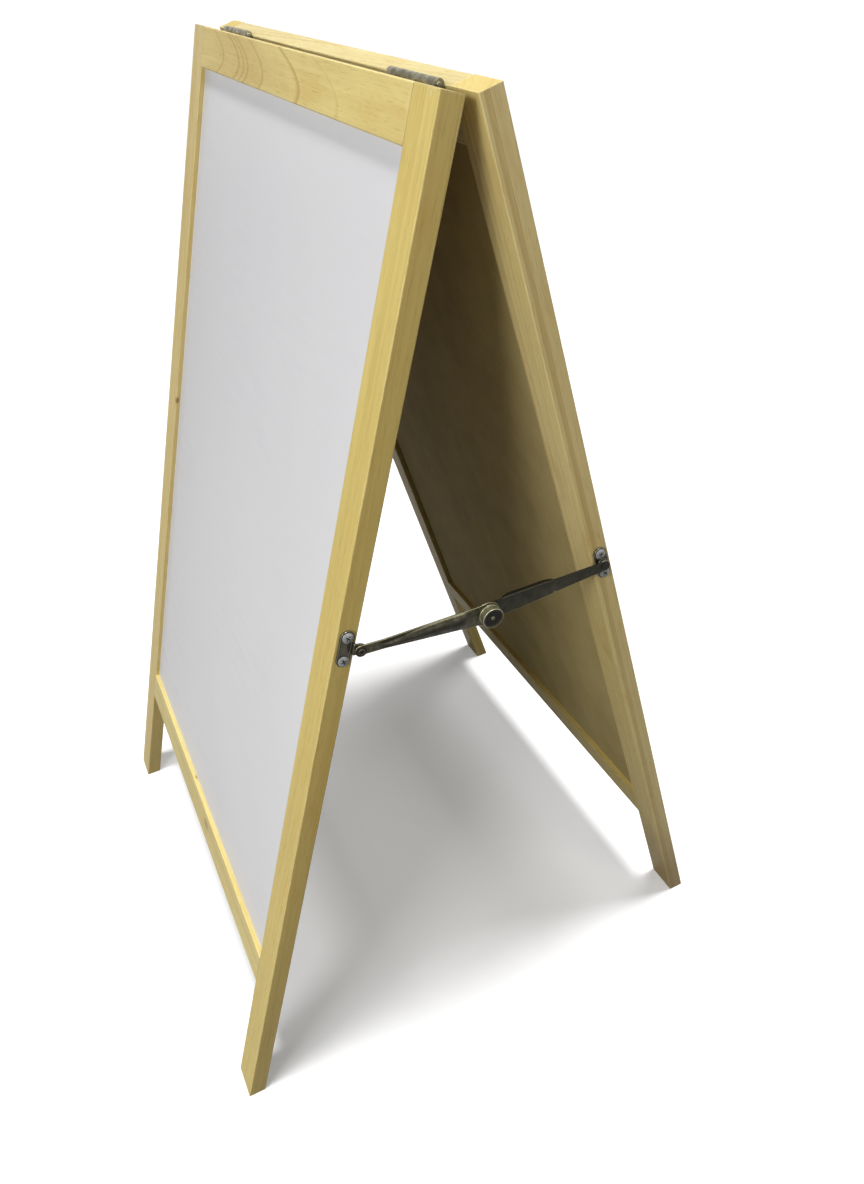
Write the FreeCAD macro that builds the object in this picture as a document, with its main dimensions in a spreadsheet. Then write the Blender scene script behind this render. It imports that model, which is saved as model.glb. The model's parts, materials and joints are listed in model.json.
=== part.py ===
import FreeCAD
import Part
import Sketcher
import math
import os
import re
from FreeCAD import Placement, Rotation, Vector

# A folding two-sided pavement sign: two wooden frames with writing boards, joined at the top by two butt
# hinges and at the sides by two folding stays. The floor is z = 0, the front faces -Y and the hinge axis
# runs along X above the origin.

# Driving sizes in millimetres and degrees
SIZES = {
    "frame_width": 610,
    "frame_length": 1067,
    "half_angle": 16,
    "stock_thick": 19,
    "stile_width": 39,
    "rail_height": 39,
    "opening_height": 828,
    "edge_ease": 1.2,
    "top_drop": 1.6,
    "board_thick": 5,
    "sheet_thick": 2,
    "front_recess": 5.5,
    "groove_depth": 8,
    "panel_gap": 1,
    "dowel_radius": 4,
    "dowel_depth": 18,
    "dowel_gap": 0.5,
    "dowel_inset": 9.5,
    "dowel_pitch": 15,
    "snug_gap": 0.03,
    "hinge_margin": 8,
    "hinge_length": 80,
    "leaf_width": 28,
    "leaf_thick": 1.6,
    "leaf_corner": 3,
    "leaf_slot": 0.8,
    "barrel_radius": 4,
    "knuckle_gap": 0.4,
    "pin_radius": 2,
    "pin_overhang": 0.6,
    "pin_chamfer": 0.5,
    "running_gap": 0.05,
    "hinge_screw_drop": 17,
    "hinge_screw_step": 25,
    "hinge_screw_radius": 1.75,
    "hinge_screw_head": 3.3,
    "hinge_screw_length": 14,
    "screw_tip": 3,
    "slot_depth": 0.7,
    "slot_width": 0.9,
    "bracket_drop": 422.5,
    "bracket_width": 13,
    "bracket_thick": 2,
    "bracket_bend": 1.2,
    "screw_pitch": 24,
    "screw_radius": 2,
    "screw_length": 20,
    "pan_radius": 5.2,
    "pan_side": 1.1,
    "pan_height": 2.5,
    "cross_length": 5.4,
    "cross_width": 1.1,
    "cross_depth": 1.4,
    "ear_radius": 5.5,
    "pivot_face": 2.5,
    "pivot_lead": 2.5,
    "boss_radius": 5,
    "boss_sink": 0.6,
    "knuckle_back": 4.6,
    "knuckle_sag": 7,
    "arm_thick": 1.6,
    "arm_gap": 0.3,
    "arm_foot_radius": 5,
    "front_arm_end": 9,
    "front_eye_radius": 11.6,
    "crown_start": 24,
    "crown_end": 108,
    "crown_ramp": 10,
    "crown_height": 3.2,
    "crown_lip": 0.2,
    "crown_margin": 0.8,
    "crown_wall": 1.5,
    "rear_arm_end": 9.4,
    "flange_start": 56,
    "flange_end": 110,
    "flange_height": 3.3,
    "flange_wall": 1.4,
    "flange_lap": 0.4,
    "flange_round": 2.4,
    "rivet_radius": 2.2,
    "rivet_head_radius": 5.3,
    "rivet_head_height": 1.2,
    "rivet_ring_radius": 3.3,
    "rivet_ring_height": 0.9,
    "rivet_dimple_radius": 1.6,
    "flat_head_radius": 4.2,
    "flat_head_height": 0.7,
    "cap_radius": 10.2,
    "cap_waist": 9.4,
    "cap_height": 8.4,
    "cap_base_height": 1.6,
    "cap_rim_height": 2.2,
    "cap_rim_width": 1.5,
    "cap_dish": 1.3,
    "cap_bump_radius": 2,
    "cap_bump_height": 0.9,
    "knuckle_radius": 3,
    "tail_radius": 5,
    "tail_height": 1.4,
}

# Rolled knuckles on one hinge, shared in turn between its two leaves, and screws in one leaf
HINGE_KNUCKLES = 5
LEAF_SCREWS = 3

# An edge that leans from a direction by no more than this lies along it
LEAN_LIMIT = 0.001

# Places worked out from the driving sizes: a face is measured out from the hinge axis across a frame's
# thickness, a drop down its slope, and a level out from the side of the stiles.
DERIVED = {
    "inner_face": "barrel_radius",
    "outer_face": "inner_face + stock_thick",
    "mid_face": "inner_face + stock_thick / 2",
    "board_front": "outer_face - front_recess",
    "board_joint": "board_front - sheet_thick",
    "board_back": "board_joint - board_thick",
    "half_width": "frame_width / 2",
    "stile_inner": "half_width - stile_width",
    "opening_top": "top_drop + rail_height",
    "opening_bottom": "opening_top + opening_height",
    "rail_foot": "opening_bottom + rail_height",
    "axis_height": "(top_drop + frame_length) * cos(half_angle) - mid_face * sin(half_angle)",
    "inner_foot": "(axis_height + inner_face * sin(half_angle)) / cos(half_angle)",
    "outer_foot": "(axis_height + outer_face * sin(half_angle)) / cos(half_angle)",
    "panel_reach": "groove_depth - panel_gap",
    "panel_side": "stile_inner + panel_reach",
    "panel_top": "opening_top - panel_reach",
    "panel_bottom": "opening_bottom + panel_reach",
    "top_dowel": "top_drop + dowel_inset",
    "foot_dowel": "rail_foot - dowel_inset",
    "dowel_length": "2 * dowel_depth - 2 * dowel_gap",
    "hinge_offset": "stile_inner - hinge_margin - hinge_length / 2",
    "leaf_face": "inner_face - leaf_thick",
    "leaf_top": "barrel_radius + leaf_slot",
    "knuckle_pitch": "hinge_length / %d" % HINGE_KNUCKLES,
    "knuckle_length": "knuckle_pitch - knuckle_gap",
    "first_screw": "-hinge_screw_step * %d / 2" % (LEAF_SCREWS - 1),
    "head_depth": "hinge_screw_head - hinge_screw_radius",
    "bracket_face": "top_drop + bracket_drop",
    "pivot_drop": "bracket_face - pivot_lead",
    "boss_drop": "bracket_face + boss_sink",
    "pivot_reach": "pivot_face * cos(half_angle) + pivot_drop * sin(half_angle)",
    "pivot_fall": "pivot_drop * cos(half_angle) - pivot_face * sin(half_angle)",
    "boss_reach": "mid_face * cos(half_angle) + boss_drop * sin(half_angle)",
    "boss_fall": "boss_drop * cos(half_angle) - mid_face * sin(half_angle)",
    "front_run": "pivot_reach + knuckle_back",
    "rear_run": "boss_reach - knuckle_back",
    "rear_sag": "knuckle_sag + pivot_fall - boss_fall",
    "front_arm_length": "sqrt(front_run ^ 2 + knuckle_sag ^ 2)",
    "rear_arm_length": "sqrt(rear_run ^ 2 + rear_sag ^ 2)",
    "flange_level": "bracket_thick + arm_gap",
    "rear_arm_level": "flange_level + flange_height",
    "rear_arm_top": "rear_arm_level + arm_thick",
    "boss_top": "rear_arm_level - arm_gap",
    "front_arm_level": "rear_arm_top + arm_gap",
    "front_arm_top": "front_arm_level + arm_thick",
    "ear_top": "front_arm_level - arm_gap",
    "ear_rise": "ear_top - bracket_thick",
    "ear_reach": "mid_face - pivot_face",
    "ear_step": "bracket_width / 2 - bracket_thick",
    "cap_top": "front_arm_top + cap_height",
}

doc = FreeCAD.newDocument("a_frame_sign")
sheet = doc.addObject("Spreadsheet::Sheet", "Dims")
for row, (size_name, size) in enumerate(SIZES.items(), start=1):
    sheet.set("A%d" % row, size_name)
    sheet.set("B%d" % row, str(size))
    sheet.setAlias("B%d" % row, size_name)
doc.recompute()

nodes = []


def bound(formula):
    """The same formula with each size read from the sheet and each derived place written out."""
    def cell(match):
        word = match.group(0)
        if word in DERIVED:
            return "(" + bound(DERIVED[word]) + ")"
        return "Dims." + word if word in SIZES else word
    return re.sub(r"[a-z_]+", cell, formula)


def value(formula):
    """The formula's present value as a plain number."""
    result = sheet.evalExpression(bound(formula))
    return float(getattr(result, "Value", result))


def new_body(label, placement):
    """A body for one sub-part, which is written to the file of its label."""
    body = doc.addObject("PartDesign::Body", label)
    body.Label = label
    body.Placement = placement
    nodes.append(body)
    return body


def origin_feature(body, role):
    """One of the body's own origin planes or axes."""
    return next(feature for feature in body.Origin.OriginFeatures if feature.Role == role)


def sketch_on(body, role, offset="0"):
    """An empty sketch on an origin plane of the body, moved along the plane's normal."""
    sketch = body.newObject("Sketcher::SketchObject", "Sketch")
    sketch.AttachmentSupport = [(origin_feature(body, role), "")]
    sketch.MapMode = "FlatFace"
    sketch.setExpression("AttachmentOffset.Base.z", bound(offset))
    return sketch


def bind(sketch, constraint, formula):
    """A dimension of the sketch that follows a formula."""
    index = sketch.addConstraint(constraint)
    sketch.setExpression("Constraints[%d]" % index, bound(formula))


def pin_point(sketch, geometry, point, place):
    """Ties one point of a sketch to a place given by two formulas."""
    for kind, formula, axis in (("DistanceX", place[0], -2), ("DistanceY", place[1], -1)):
        if formula == "0":
            sketch.addConstraint(Sketcher.Constraint("PointOnObject", geometry, point, axis))
        else:
            constraint = Sketcher.Constraint(kind, -1, 1, geometry, point, value(formula))
            bind(sketch, constraint, formula)


def arc_between(start, end, radius):
    """The short arc that bulges to the left of the way from start to end, drawn back from the end."""
    chord = end - start
    left = Vector(-chord.y, chord.x, 0).normalize()
    depth = (radius ** 2 - (chord.Length / 2) ** 2) ** 0.5
    centre = (start + end) * 0.5 - left * depth
    angles = [math.atan2(point.y - centre.y, point.x - centre.x) for point in (end, start)]
    return Part.ArcOfCircle(Part.Circle(centre, Vector(0, 0, 1), radius), angles[0], angles[1])


def outline(sketch, corners):
    """A closed outline; a corner's third formula is the radius of an arc on to the next corner."""
    points = [Vector(value(corner[0]), value(corner[1]), 0) for corner in corners]
    following = points[1:] + points[:1]
    first = sketch.GeometryCount
    ends = []
    for corner, start, end in zip(corners, points, following):
        if len(corner) == 3:
            sketch.addGeometry(arc_between(start, end, value(corner[2])), False)
            ends.append((2, 1))
        else:
            sketch.addGeometry(Part.LineSegment(start, end), False)
            ends.append((1, 2))
    for index, corner in enumerate(corners):
        after = (index + 1) % len(corners)
        leaving = (first + index, ends[index][1])
        entering = (first + after, ends[after][0])
        sketch.addConstraint(Sketcher.Constraint("Coincident", *leaving, *entering))
        pin_point(sketch, first + index, ends[index][0], corner)
        if len(corner) == 3:
            bind(sketch, Sketcher.Constraint("Radius", first + index, value(corner[2])), corner[2])


def rectangle(sketch, left, low, right, high):
    """A rectangle between two corners."""
    outline(sketch, [(left, low), (right, low), (right, high), (left, high)])


def circle(sketch, place, radius):
    """A circle about a place."""
    centre = Vector(value(place[0]), value(place[1]), 0)
    index = sketch.addGeometry(Part.Circle(centre, Vector(0, 0, 1), value(radius)), False)
    pin_point(sketch, index, 3, place)
    bind(sketch, Sketcher.Constraint("Radius", index, value(radius)), radius)


def pad(body, sketch, length, symmetric=False):
    """Material along the sketch's normal."""
    feature = body.newObject("PartDesign::Pad", "Pad")
    feature.Profile = sketch
    feature.setExpression("Length", bound(length))
    if symmetric:
        feature.SideType = "Symmetric"
    doc.recompute()
    return feature


def pocket(body, sketch, depth, along_normal=False):
    """A cut against the sketch's normal, or along it."""
    before = body.Shape.Volume
    feature = body.newObject("PartDesign::Pocket", "Pocket")
    feature.Profile = sketch
    feature.Reversed = along_normal
    feature.setExpression("Length", bound(depth))
    doc.recompute()
    if not body.Shape.Volume < before:
        raise RuntimeError("a pocket of %s cuts nothing" % body.Label)
    return feature


def lathe(body, corners):
    """A turned piece about the body's Z axis; corners are radius and height."""
    sketch = sketch_on(body, "XZ_Plane")
    outline(sketch, corners)
    feature = body.newObject("PartDesign::Revolution", "Revolution")
    feature.Profile = sketch
    feature.ReferenceAxis = (sketch, ["V_Axis"])
    feature.Angle = 360
    doc.recompute()
    return feature


def loft(body, kind, sections):
    """A straight-sided loft through sketches, added or cut away."""
    feature = body.newObject("PartDesign::" + kind, kind)
    feature.Profile = sections[0]
    feature.Sections = sections[1:]
    feature.Ruled = True
    doc.recompute()
    return feature


def mirror(body, features):
    """The same features again on the other side of the body's YZ plane."""
    feature = body.newObject("PartDesign::Mirrored", "Mirrored")
    feature.Originals = features
    feature.MirrorPlane = (origin_feature(body, "YZ_Plane"), [""])
    body.Tip = feature
    doc.recompute()
    return feature


def row_of(body, features, axis, count, length):
    """The same features in a row along an axis of the body."""
    feature = body.newObject("PartDesign::LinearPattern", "LinearPattern")
    feature.Originals = features
    feature.Direction = (origin_feature(body, axis), [""])
    feature.Occurrences = count
    feature.setExpression("Length", bound(length))
    body.Tip = feature
    doc.recompute()
    return feature


def straight_edges(shape, direction):
    """Names of the straight edges that lie along a direction."""
    names = []
    for number, edge in enumerate(shape.Edges, start=1):
        if edge.Curve.TypeId != "Part::GeomLine":
            continue
        if edge.Curve.Direction.cross(direction).Length < LEAN_LIMIT:
            names.append("Edge%d" % number)
    return names


def round_edges(body, names, radius):
    """Rounded edges on the body's latest feature."""
    base = body.Tip
    feature = body.newObject("PartDesign::Fillet", "Fillet")
    feature.Base = (base, names)
    feature.setExpression("Radius", bound(radius))
    doc.recompute()
    return feature


def ease(body, direction):
    """The eased long edges of a planed bar."""
    round_edges(body, straight_edges(body.Tip.Shape, direction), "edge_ease")


def stile(label, side, placement):
    """An upright bar with a level foot, a stopped groove for the board and holes for dowels and screws."""
    body = new_body(label, placement)
    low_edge = "stile_inner" if side > 0 else "-half_width"
    profile = sketch_on(body, "YZ_Plane", low_edge)
    outline(profile, [
        ("-inner_face", "-top_drop"),
        ("-outer_face", "-top_drop"),
        ("-outer_face", "-outer_foot"),
        ("-inner_face", "-inner_foot"),
    ])
    pad(body, profile, "stile_width")
    ease(body, Vector(0, 0, 1))
    joint_edge = "stile_inner" if side > 0 else "-stile_inner"
    groove = sketch_on(body, "YZ_Plane", joint_edge)
    groove_foot = "-opening_bottom - groove_depth"
    rectangle(groove, "-board_front", groove_foot, "-board_back", "-opening_top + groove_depth")
    pocket(body, groove, "groove_depth", along_normal=side > 0)
    holes = sketch_on(body, "YZ_Plane", joint_edge)
    for drop in dowel_drops("top") + dowel_drops("foot"):
        circle(holes, ("-mid_face", "-" + drop), "dowel_radius + snug_gap")
    pocket(body, holes, "dowel_depth", along_normal=side > 0)
    pilots = sketch_on(body, "YZ_Plane", "half_width" if side > 0 else "-half_width")
    for sign in ("+", "-"):
        drop = "-bracket_face %s screw_pitch / 2" % sign
        circle(pilots, ("-mid_face", drop), "screw_radius + snug_gap")
    pocket(body, pilots, "screw_length", along_normal=side < 0)


def dowel_drops(end):
    """How far down the slope the two dowels of a corner lie."""
    if end == "top":
        return ["top_dowel", "(top_dowel + dowel_pitch)"]
    return ["foot_dowel", "(foot_dowel - dowel_pitch)"]


def rail(label, upper, lower, groove_edge, end, placement):
    """A cross bar between the stiles, grooved for the board and drilled for dowels at both ends."""
    body = new_body(label, placement)
    profile = sketch_on(body, "YZ_Plane", "-stile_inner")
    rectangle(profile, "-outer_face", "-" + lower, "-inner_face", "-" + upper)
    pad(body, profile, "2 * stile_inner")
    ease(body, Vector(1, 0, 0))
    groove = sketch_on(body, "YZ_Plane", "-stile_inner")
    rectangle(groove, "-board_front", "-%s - groove_depth" % groove_edge, "-board_back",
              "-%s + groove_depth" % groove_edge)
    pocket(body, groove, "2 * stile_inner", along_normal=True)
    holes = sketch_on(body, "YZ_Plane", "-stile_inner")
    for drop in dowel_drops(end):
        circle(holes, ("-mid_face", "-" + drop), "dowel_radius + snug_gap")
    mirror(body, [pocket(body, holes, "dowel_depth", along_normal=True)])
    return body


def leaf_screw_places():
    """Where the screws of a hinge leaf lie along it, from its middle."""
    return ["first_screw + %d * hinge_screw_step" % step for step in range(LEAF_SCREWS)]


def hinge_pilots(body):
    """Screw holes for the hinge leaves in a top rail's inner face."""
    pilots = sketch_on(body, "XZ_Plane", "inner_face")
    for hinge in ("-hinge_offset", "hinge_offset"):
        for place in leaf_screw_places():
            circle(pilots, (hinge + " + " + place, "-hinge_screw_drop"), "hinge_screw_radius + snug_gap")
    pocket(body, pilots, "hinge_screw_length", along_normal=True)


def panel(label, back_face, thickness, placement):
    """A flat sheet whose edges sit in the grooves of the frame."""
    body = new_body(label, placement)
    sheet_outline = sketch_on(body, "XZ_Plane", back_face)
    rectangle(sheet_outline, "-panel_side", "-panel_bottom", "panel_side", "-panel_top")
    pad(body, sheet_outline, thickness)


def dowels(label, placement):
    """The eight dowels that hold the four corners of a frame together."""
    body = new_body(label, placement)
    ends = sketch_on(body, "YZ_Plane", "stile_inner - dowel_length / 2")
    for drop in dowel_drops("top") + dowel_drops("foot"):
        circle(ends, ("-mid_face", "-" + drop), "dowel_radius")
    mirror(body, [pad(body, ends, "dowel_length")])


def hinge_leaf(label, first_knuckle, count, placement):
    """A hinge leaf: a plate with rolled knuckles about the hinge axis and a row of countersunk holes."""
    body = new_body(label, placement)
    plate = sketch_on(body, "XZ_Plane", "leaf_face")
    rectangle(plate, "-hinge_length / 2", "-leaf_width", "hinge_length / 2", "-leaf_top")
    pad(body, plate, "leaf_thick")
    lower_corners = [name for name in straight_edges(body.Tip.Shape, Vector(0, 1, 0))
                     if body.Tip.Shape.getElement(name).CenterOfMass.z < value("-leaf_top - leaf_corner")]
    round_edges(body, lower_corners, "leaf_corner")
    start = "-hinge_length / 2 + knuckle_gap / 2 + %d * knuckle_pitch" % first_knuckle
    strap = sketch_on(body, "YZ_Plane", start)
    rectangle(strap, "-inner_face", "-leaf_top - leaf_thick", "-leaf_face", "0")
    strap_pad = pad(body, strap, "knuckle_length")
    barrel = sketch_on(body, "YZ_Plane", start)
    circle(barrel, ("0", "0"), "barrel_radius")
    barrel_pad = pad(body, barrel, "knuckle_length")
    row_of(body, [strap_pad, barrel_pad], "X_Axis", count, "%d * knuckle_pitch" % (2 * count - 2))
    bore = sketch_on(body, "YZ_Plane", "hinge_length")
    circle(bore, ("0", "0"), "pin_radius + running_gap")
    pocket(body, bore, "2 * hinge_length")
    row = [(place, "-hinge_screw_drop") for place in leaf_screw_places()]
    holes = sketch_on(body, "XZ_Plane", "leaf_face")
    for place in row:
        circle(holes, place, "hinge_screw_radius + snug_gap")
    pocket(body, holes, "leaf_thick", along_normal=True)
    for place in row:
        mouth = sketch_on(body, "XZ_Plane", "leaf_face")
        circle(mouth, place, "hinge_screw_head + snug_gap")
        root = sketch_on(body, "XZ_Plane", "leaf_face + head_depth")
        circle(root, place, "hinge_screw_radius + snug_gap")
        loft(body, "SubtractiveLoft", [mouth, root])


def hinge_pin(label, placement):
    """A plain pin through all knuckles of a hinge."""
    body = new_body(label, placement)
    tip = "hinge_length / 2 + pin_overhang"
    shoulder = tip + " - pin_chamfer"
    lathe(body, [
        ("0", "-(%s)" % tip),
        ("pin_radius - pin_chamfer", "-(%s)" % tip),
        ("pin_radius", "-(%s)" % shoulder),
        ("pin_radius", shoulder),
        ("pin_radius - pin_chamfer", tip),
        ("0", tip),
    ])


def hinge_screws(label, placement):
    """A leaf's row of slotted countersunk screws, heads level with the leaf."""
    body = new_body(label, placement)
    turned = lathe(body, [
        ("0", "0"),
        ("hinge_screw_head", "0"),
        ("hinge_screw_radius", "-head_depth"),
        ("hinge_screw_radius", "-hinge_screw_length + screw_tip"),
        ("0", "-hinge_screw_length"),
    ])
    slot = sketch_on(body, "XY_Plane")
    rectangle(slot, "-slot_width / 2", "-2 * hinge_screw_head", "slot_width / 2", "2 * hinge_screw_head")
    cut = pocket(body, slot, "slot_depth")
    row_of(body, [turned, cut], "X_Axis", LEAF_SCREWS, "%d * hinge_screw_step" % (LEAF_SCREWS - 1))


def bracket_plate(label, placement):
    """The round-ended plate of a stay bracket."""
    body = new_body(label, placement)
    plate = sketch_on(body, "XY_Plane")
    half = "bracket_width / 2"
    rectangle(plate, "-screw_pitch / 2", "-" + half, "screw_pitch / 2", half)
    pad(body, plate, "bracket_thick")
    for end in ("-screw_pitch / 2", "screw_pitch / 2"):
        round_end = sketch_on(body, "XY_Plane")
        circle(round_end, (end, "0"), half)
        pad(body, round_end, "bracket_thick")
    return body


def bracket_holes(body, pivot, top, depth):
    """The pivot hole of a stay bracket and its two screw holes."""
    bore = sketch_on(body, "XY_Plane", top)
    circle(bore, pivot, "rivet_radius + snug_gap")
    pocket(body, bore, depth)
    holes = sketch_on(body, "XY_Plane", "bracket_thick")
    for end in ("-screw_pitch / 2", "screw_pitch / 2"):
        circle(holes, (end, "0"), "screw_radius + snug_gap")
    pocket(body, holes, "bracket_thick")


def eared_bracket(label, lead, placement):
    """The front bracket: an ear at one side is stepped out to carry the outer arm's pivot."""
    body = bracket_plate(label, placement)
    step = sketch_on(body, "YZ_Plane", lead)
    outline(step, [
        ("ear_step", "0"),
        ("ear_step + bracket_thick", "0"),
        ("ear_step + bracket_thick", "ear_rise"),
        ("ear_reach", "ear_rise"),
        ("ear_reach", "ear_top"),
        ("ear_step", "ear_top"),
    ])
    pad(body, step, "2 * ear_radius", symmetric=True)
    bend = [name for name in straight_edges(body.Tip.Shape, Vector(1, 0, 0))
            if is_outer_bend(body.Tip.Shape.getElement(name))]
    round_edges(body, bend, "bracket_bend")
    ear = sketch_on(body, "XY_Plane", "ear_rise")
    circle(ear, (lead, "ear_reach"), "ear_radius")
    pad(body, ear, "bracket_thick")
    bracket_holes(body, (lead, "ear_reach"), "ear_top", "bracket_thick")


def bossed_bracket(label, sink, placement):
    """The rear bracket: a boss between the screws carries the inner arm's pivot clear of their heads."""
    body = bracket_plate(label, placement)
    boss = sketch_on(body, "XY_Plane")
    circle(boss, (sink, "0"), "boss_radius")
    pad(body, boss, "boss_top")
    bracket_holes(body, (sink, "0"), "boss_top", "boss_top")


def is_outer_bend(edge):
    """True for the long outer edge where the ear leaves the plate."""
    centre = edge.CenterOfMass
    at_top = abs(centre.z - value("ear_top")) < value("snug_gap")
    return at_top and centre.y < value("ear_step + snug_gap")


def bracket_screws(label, placement):
    """Two pan-head screws with cross recesses."""
    body = new_body(label, placement)
    rise = "(pan_height - pan_side)"
    turned = lathe(body, [
        ("0", "bracket_thick + pan_height", "(%s ^ 2 + pan_radius ^ 2) / (2 * %s)" % (rise, rise)),
        ("pan_radius", "bracket_thick + pan_side"),
        ("pan_radius", "bracket_thick"),
        ("screw_radius", "bracket_thick"),
        ("screw_radius", "bracket_thick - screw_length + screw_tip"),
        ("0", "bracket_thick - screw_length"),
    ])
    cuts = [turned]
    for along, across in (("cross_length", "cross_width"), ("cross_width", "cross_length")):
        recess = sketch_on(body, "XY_Plane", "bracket_thick + pan_height")
        rectangle(recess, "-%s / 2" % along, "-%s / 2" % across, "%s / 2" % along, "%s / 2" % across)
        cuts.append(pocket(body, recess, "cross_depth"))
    row_of(body, cuts, "X_Axis", 2, "screw_pitch")


def arm_plate(label, level, length, end_radius, placement):
    """The flat blank of a stay arm, widening from its pivot to its eye."""
    body = new_body(label, placement)
    blank = sketch_on(body, "XY_Plane", level)
    outline(blank, [
        ("0", "-arm_foot_radius"),
        (length, "-" + end_radius),
        (length, end_radius),
        ("0", "arm_foot_radius"),
    ])
    pad(body, blank, "arm_thick")
    for place, radius in (("0", "arm_foot_radius"), (length, end_radius)):
        round_end = sketch_on(body, "XY_Plane", level)
        circle(round_end, (place, "0"), radius)
        pad(body, round_end, "arm_thick")
    return body


def half_arm(length, end_radius, place):
    """Half the width of a stay arm at a place along it."""
    return "arm_foot_radius + (%s - arm_foot_radius) * (%s) / %s" % (end_radius, place, length)


def arm_holes(body, level, length):
    """The pivot hole and the knuckle hole of a stay arm."""
    holes = sketch_on(body, "XY_Plane", level + " + arm_thick")
    circle(holes, ("0", "0"), "rivet_radius + running_gap")
    circle(holes, (length, "0"), "knuckle_radius + snug_gap")
    pocket(body, holes, "arm_thick")


def crown_section(body, place, half, low, rise):
    """One round-backed section across a stay arm."""
    section = sketch_on(body, "YZ_Plane", place)
    radius = "((%s) ^ 2 + (%s) ^ 2) / (2 * (%s))" % (half, rise, rise)
    outline(section, [("-(%s)" % half, low, radius), (half, low)])
    return section


def front_arm(label, placement):
    """The outer stay arm: a flat foot and a round eye joined by a pressed, round-backed channel."""
    body = arm_plate(label, "front_arm_level", "front_arm_length", "front_arm_end", placement)
    eye = sketch_on(body, "XY_Plane", "front_arm_level")
    circle(eye, ("front_arm_length", "0"), "front_eye_radius")
    pad(body, eye, "arm_thick")

    def half_at(place):
        return half_arm("front_arm_length", "front_arm_end", place) + " - crown_margin"

    def lip_at(place):
        half = half_at(place) + " - 2 * crown_margin"
        return crown_section(body, place, half, "front_arm_top", "crown_lip")

    def full_at(place):
        return crown_section(body, place, half_at(place), "front_arm_top", "crown_height")
    full_start = "crown_start + crown_ramp"
    full_end = "crown_end - crown_ramp"
    sections = [lip_at("crown_start"), full_at(full_start), full_at(full_end), lip_at("crown_end")]
    loft(body, "AdditiveLoft", sections)
    hollow = "arm_thick + crown_height - crown_wall"
    loft(body, "SubtractiveLoft", [
        crown_section(body, full_start, half_at(full_start) + " - crown_wall", "front_arm_level", hollow),
        crown_section(body, full_end, half_at(full_end) + " - crown_wall", "front_arm_level", hollow),
    ])
    arm_holes(body, "front_arm_level", "front_arm_length")


def rear_arm(label, placement):
    """The inner stay arm: a flat tongue that becomes a channel, its two flanges bent back to the frame."""
    body = arm_plate(label, "rear_arm_level", "rear_arm_length", "rear_arm_end", placement)
    start_half = half_arm("rear_arm_length", "rear_arm_end", "flange_start") + " - flange_lap"
    end_half = half_arm("rear_arm_length", "rear_arm_end", "flange_end") + " - flange_lap"
    for sign in ("", "-"):
        strip = sketch_on(body, "XY_Plane", "flange_level")
        outline(strip, [
            ("flange_start", "%s(%s)" % (sign, start_half)),
            ("flange_end", "%s(%s)" % (sign, end_half)),
            ("flange_end", "%s(%s + flange_wall)" % (sign, end_half)),
            ("flange_start", "%s(%s + flange_wall)" % (sign, start_half)),
        ])
        pad(body, strip, "flange_height + arm_thick")
    round_edges(body, flange_ends(body), "flange_round")
    arm_holes(body, "rear_arm_level", "rear_arm_length")


def flange_ends(body):
    """Names of the short free edges at the four ends of the flanges."""
    names = []
    for number, edge in enumerate(body.Tip.Shape.Edges, start=1):
        is_free = edge.BoundBox.ZMax < value("flange_level + snug_gap")
        if is_free and edge.Length < 2 * value("flange_wall"):
            names.append("Edge%d" % number)
    return names


def ringed_rivet(label, placement):
    """The front pivot's rivet, fixed in the stepped ear: a flat head with a raised, hollow ring."""
    body = new_body(label, placement)
    seat = "front_arm_top + arm_gap"
    head_top = seat + " + rivet_head_height"
    ring_top = head_top + " + rivet_ring_height"
    lathe(body, [
        ("0", "ear_rise"),
        ("rivet_radius", "ear_rise"),
        ("rivet_radius", seat),
        ("rivet_head_radius", seat),
        ("rivet_head_radius", head_top),
        ("rivet_ring_radius", head_top),
        ("rivet_ring_radius - rivet_ring_height / 2", ring_top),
        ("rivet_dimple_radius", ring_top),
        ("rivet_dimple_radius", head_top),
        ("0", head_top),
    ])


def flat_rivet(label, placement):
    """The rear pivot's rivet, fixed in the boss: a thin flat head that the folded stay clears."""
    body = new_body(label, placement)
    seat = "rear_arm_top + arm_gap"
    lathe(body, [
        ("0", "0"),
        ("rivet_radius", "0"),
        ("rivet_radius", seat),
        ("flat_head_radius", seat),
        ("flat_head_radius", seat + " + flat_head_height"),
        ("0", seat + " + flat_head_height"),
    ])


def knuckle_cap(label, placement):
    """The round boss on the outer arm's eye: a base ring, a waist, and a dished face inside a rim."""
    body = new_body(label, placement)
    dish = "cap_top - cap_dish"
    lathe(body, [
        ("0", "front_arm_level"),
        ("knuckle_radius", "front_arm_level"),
        ("knuckle_radius", "front_arm_top"),
        ("cap_radius", "front_arm_top"),
        ("cap_radius", "front_arm_top + cap_base_height"),
        ("cap_waist", "front_arm_top + cap_base_height"),
        ("cap_waist", "cap_top - cap_rim_height"),
        ("cap_radius", "cap_top - cap_rim_height"),
        ("cap_radius", "cap_top"),
        ("cap_radius - cap_rim_width", "cap_top"),
        ("cap_radius - cap_rim_width - cap_dish", dish),
        ("cap_bump_radius", dish),
        ("cap_bump_radius", dish + " + cap_bump_height / 2"),
        ("cap_bump_radius - cap_bump_height / 2", dish + " + cap_bump_height"),
        ("0", dish + " + cap_bump_height"),
    ])


def knuckle_tail(label, placement):
    """The rivet tail in the inner arm's eye, closed over behind it."""
    body = new_body(label, placement)
    lathe(body, [
        ("0", "rear_arm_level - tail_height"),
        ("tail_radius", "rear_arm_level - tail_height"),
        ("tail_radius", "rear_arm_level"),
        ("knuckle_radius", "rear_arm_level"),
        ("knuckle_radius", "rear_arm_top"),
        ("0", "rear_arm_top"),
    ])


def shifted(placement, place, rotation=None):
    """A placement moved in its own axes by formulas, and then turned."""
    return placement * Placement(Vector(*[value(part) for part in place]), rotation or Rotation())


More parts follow.
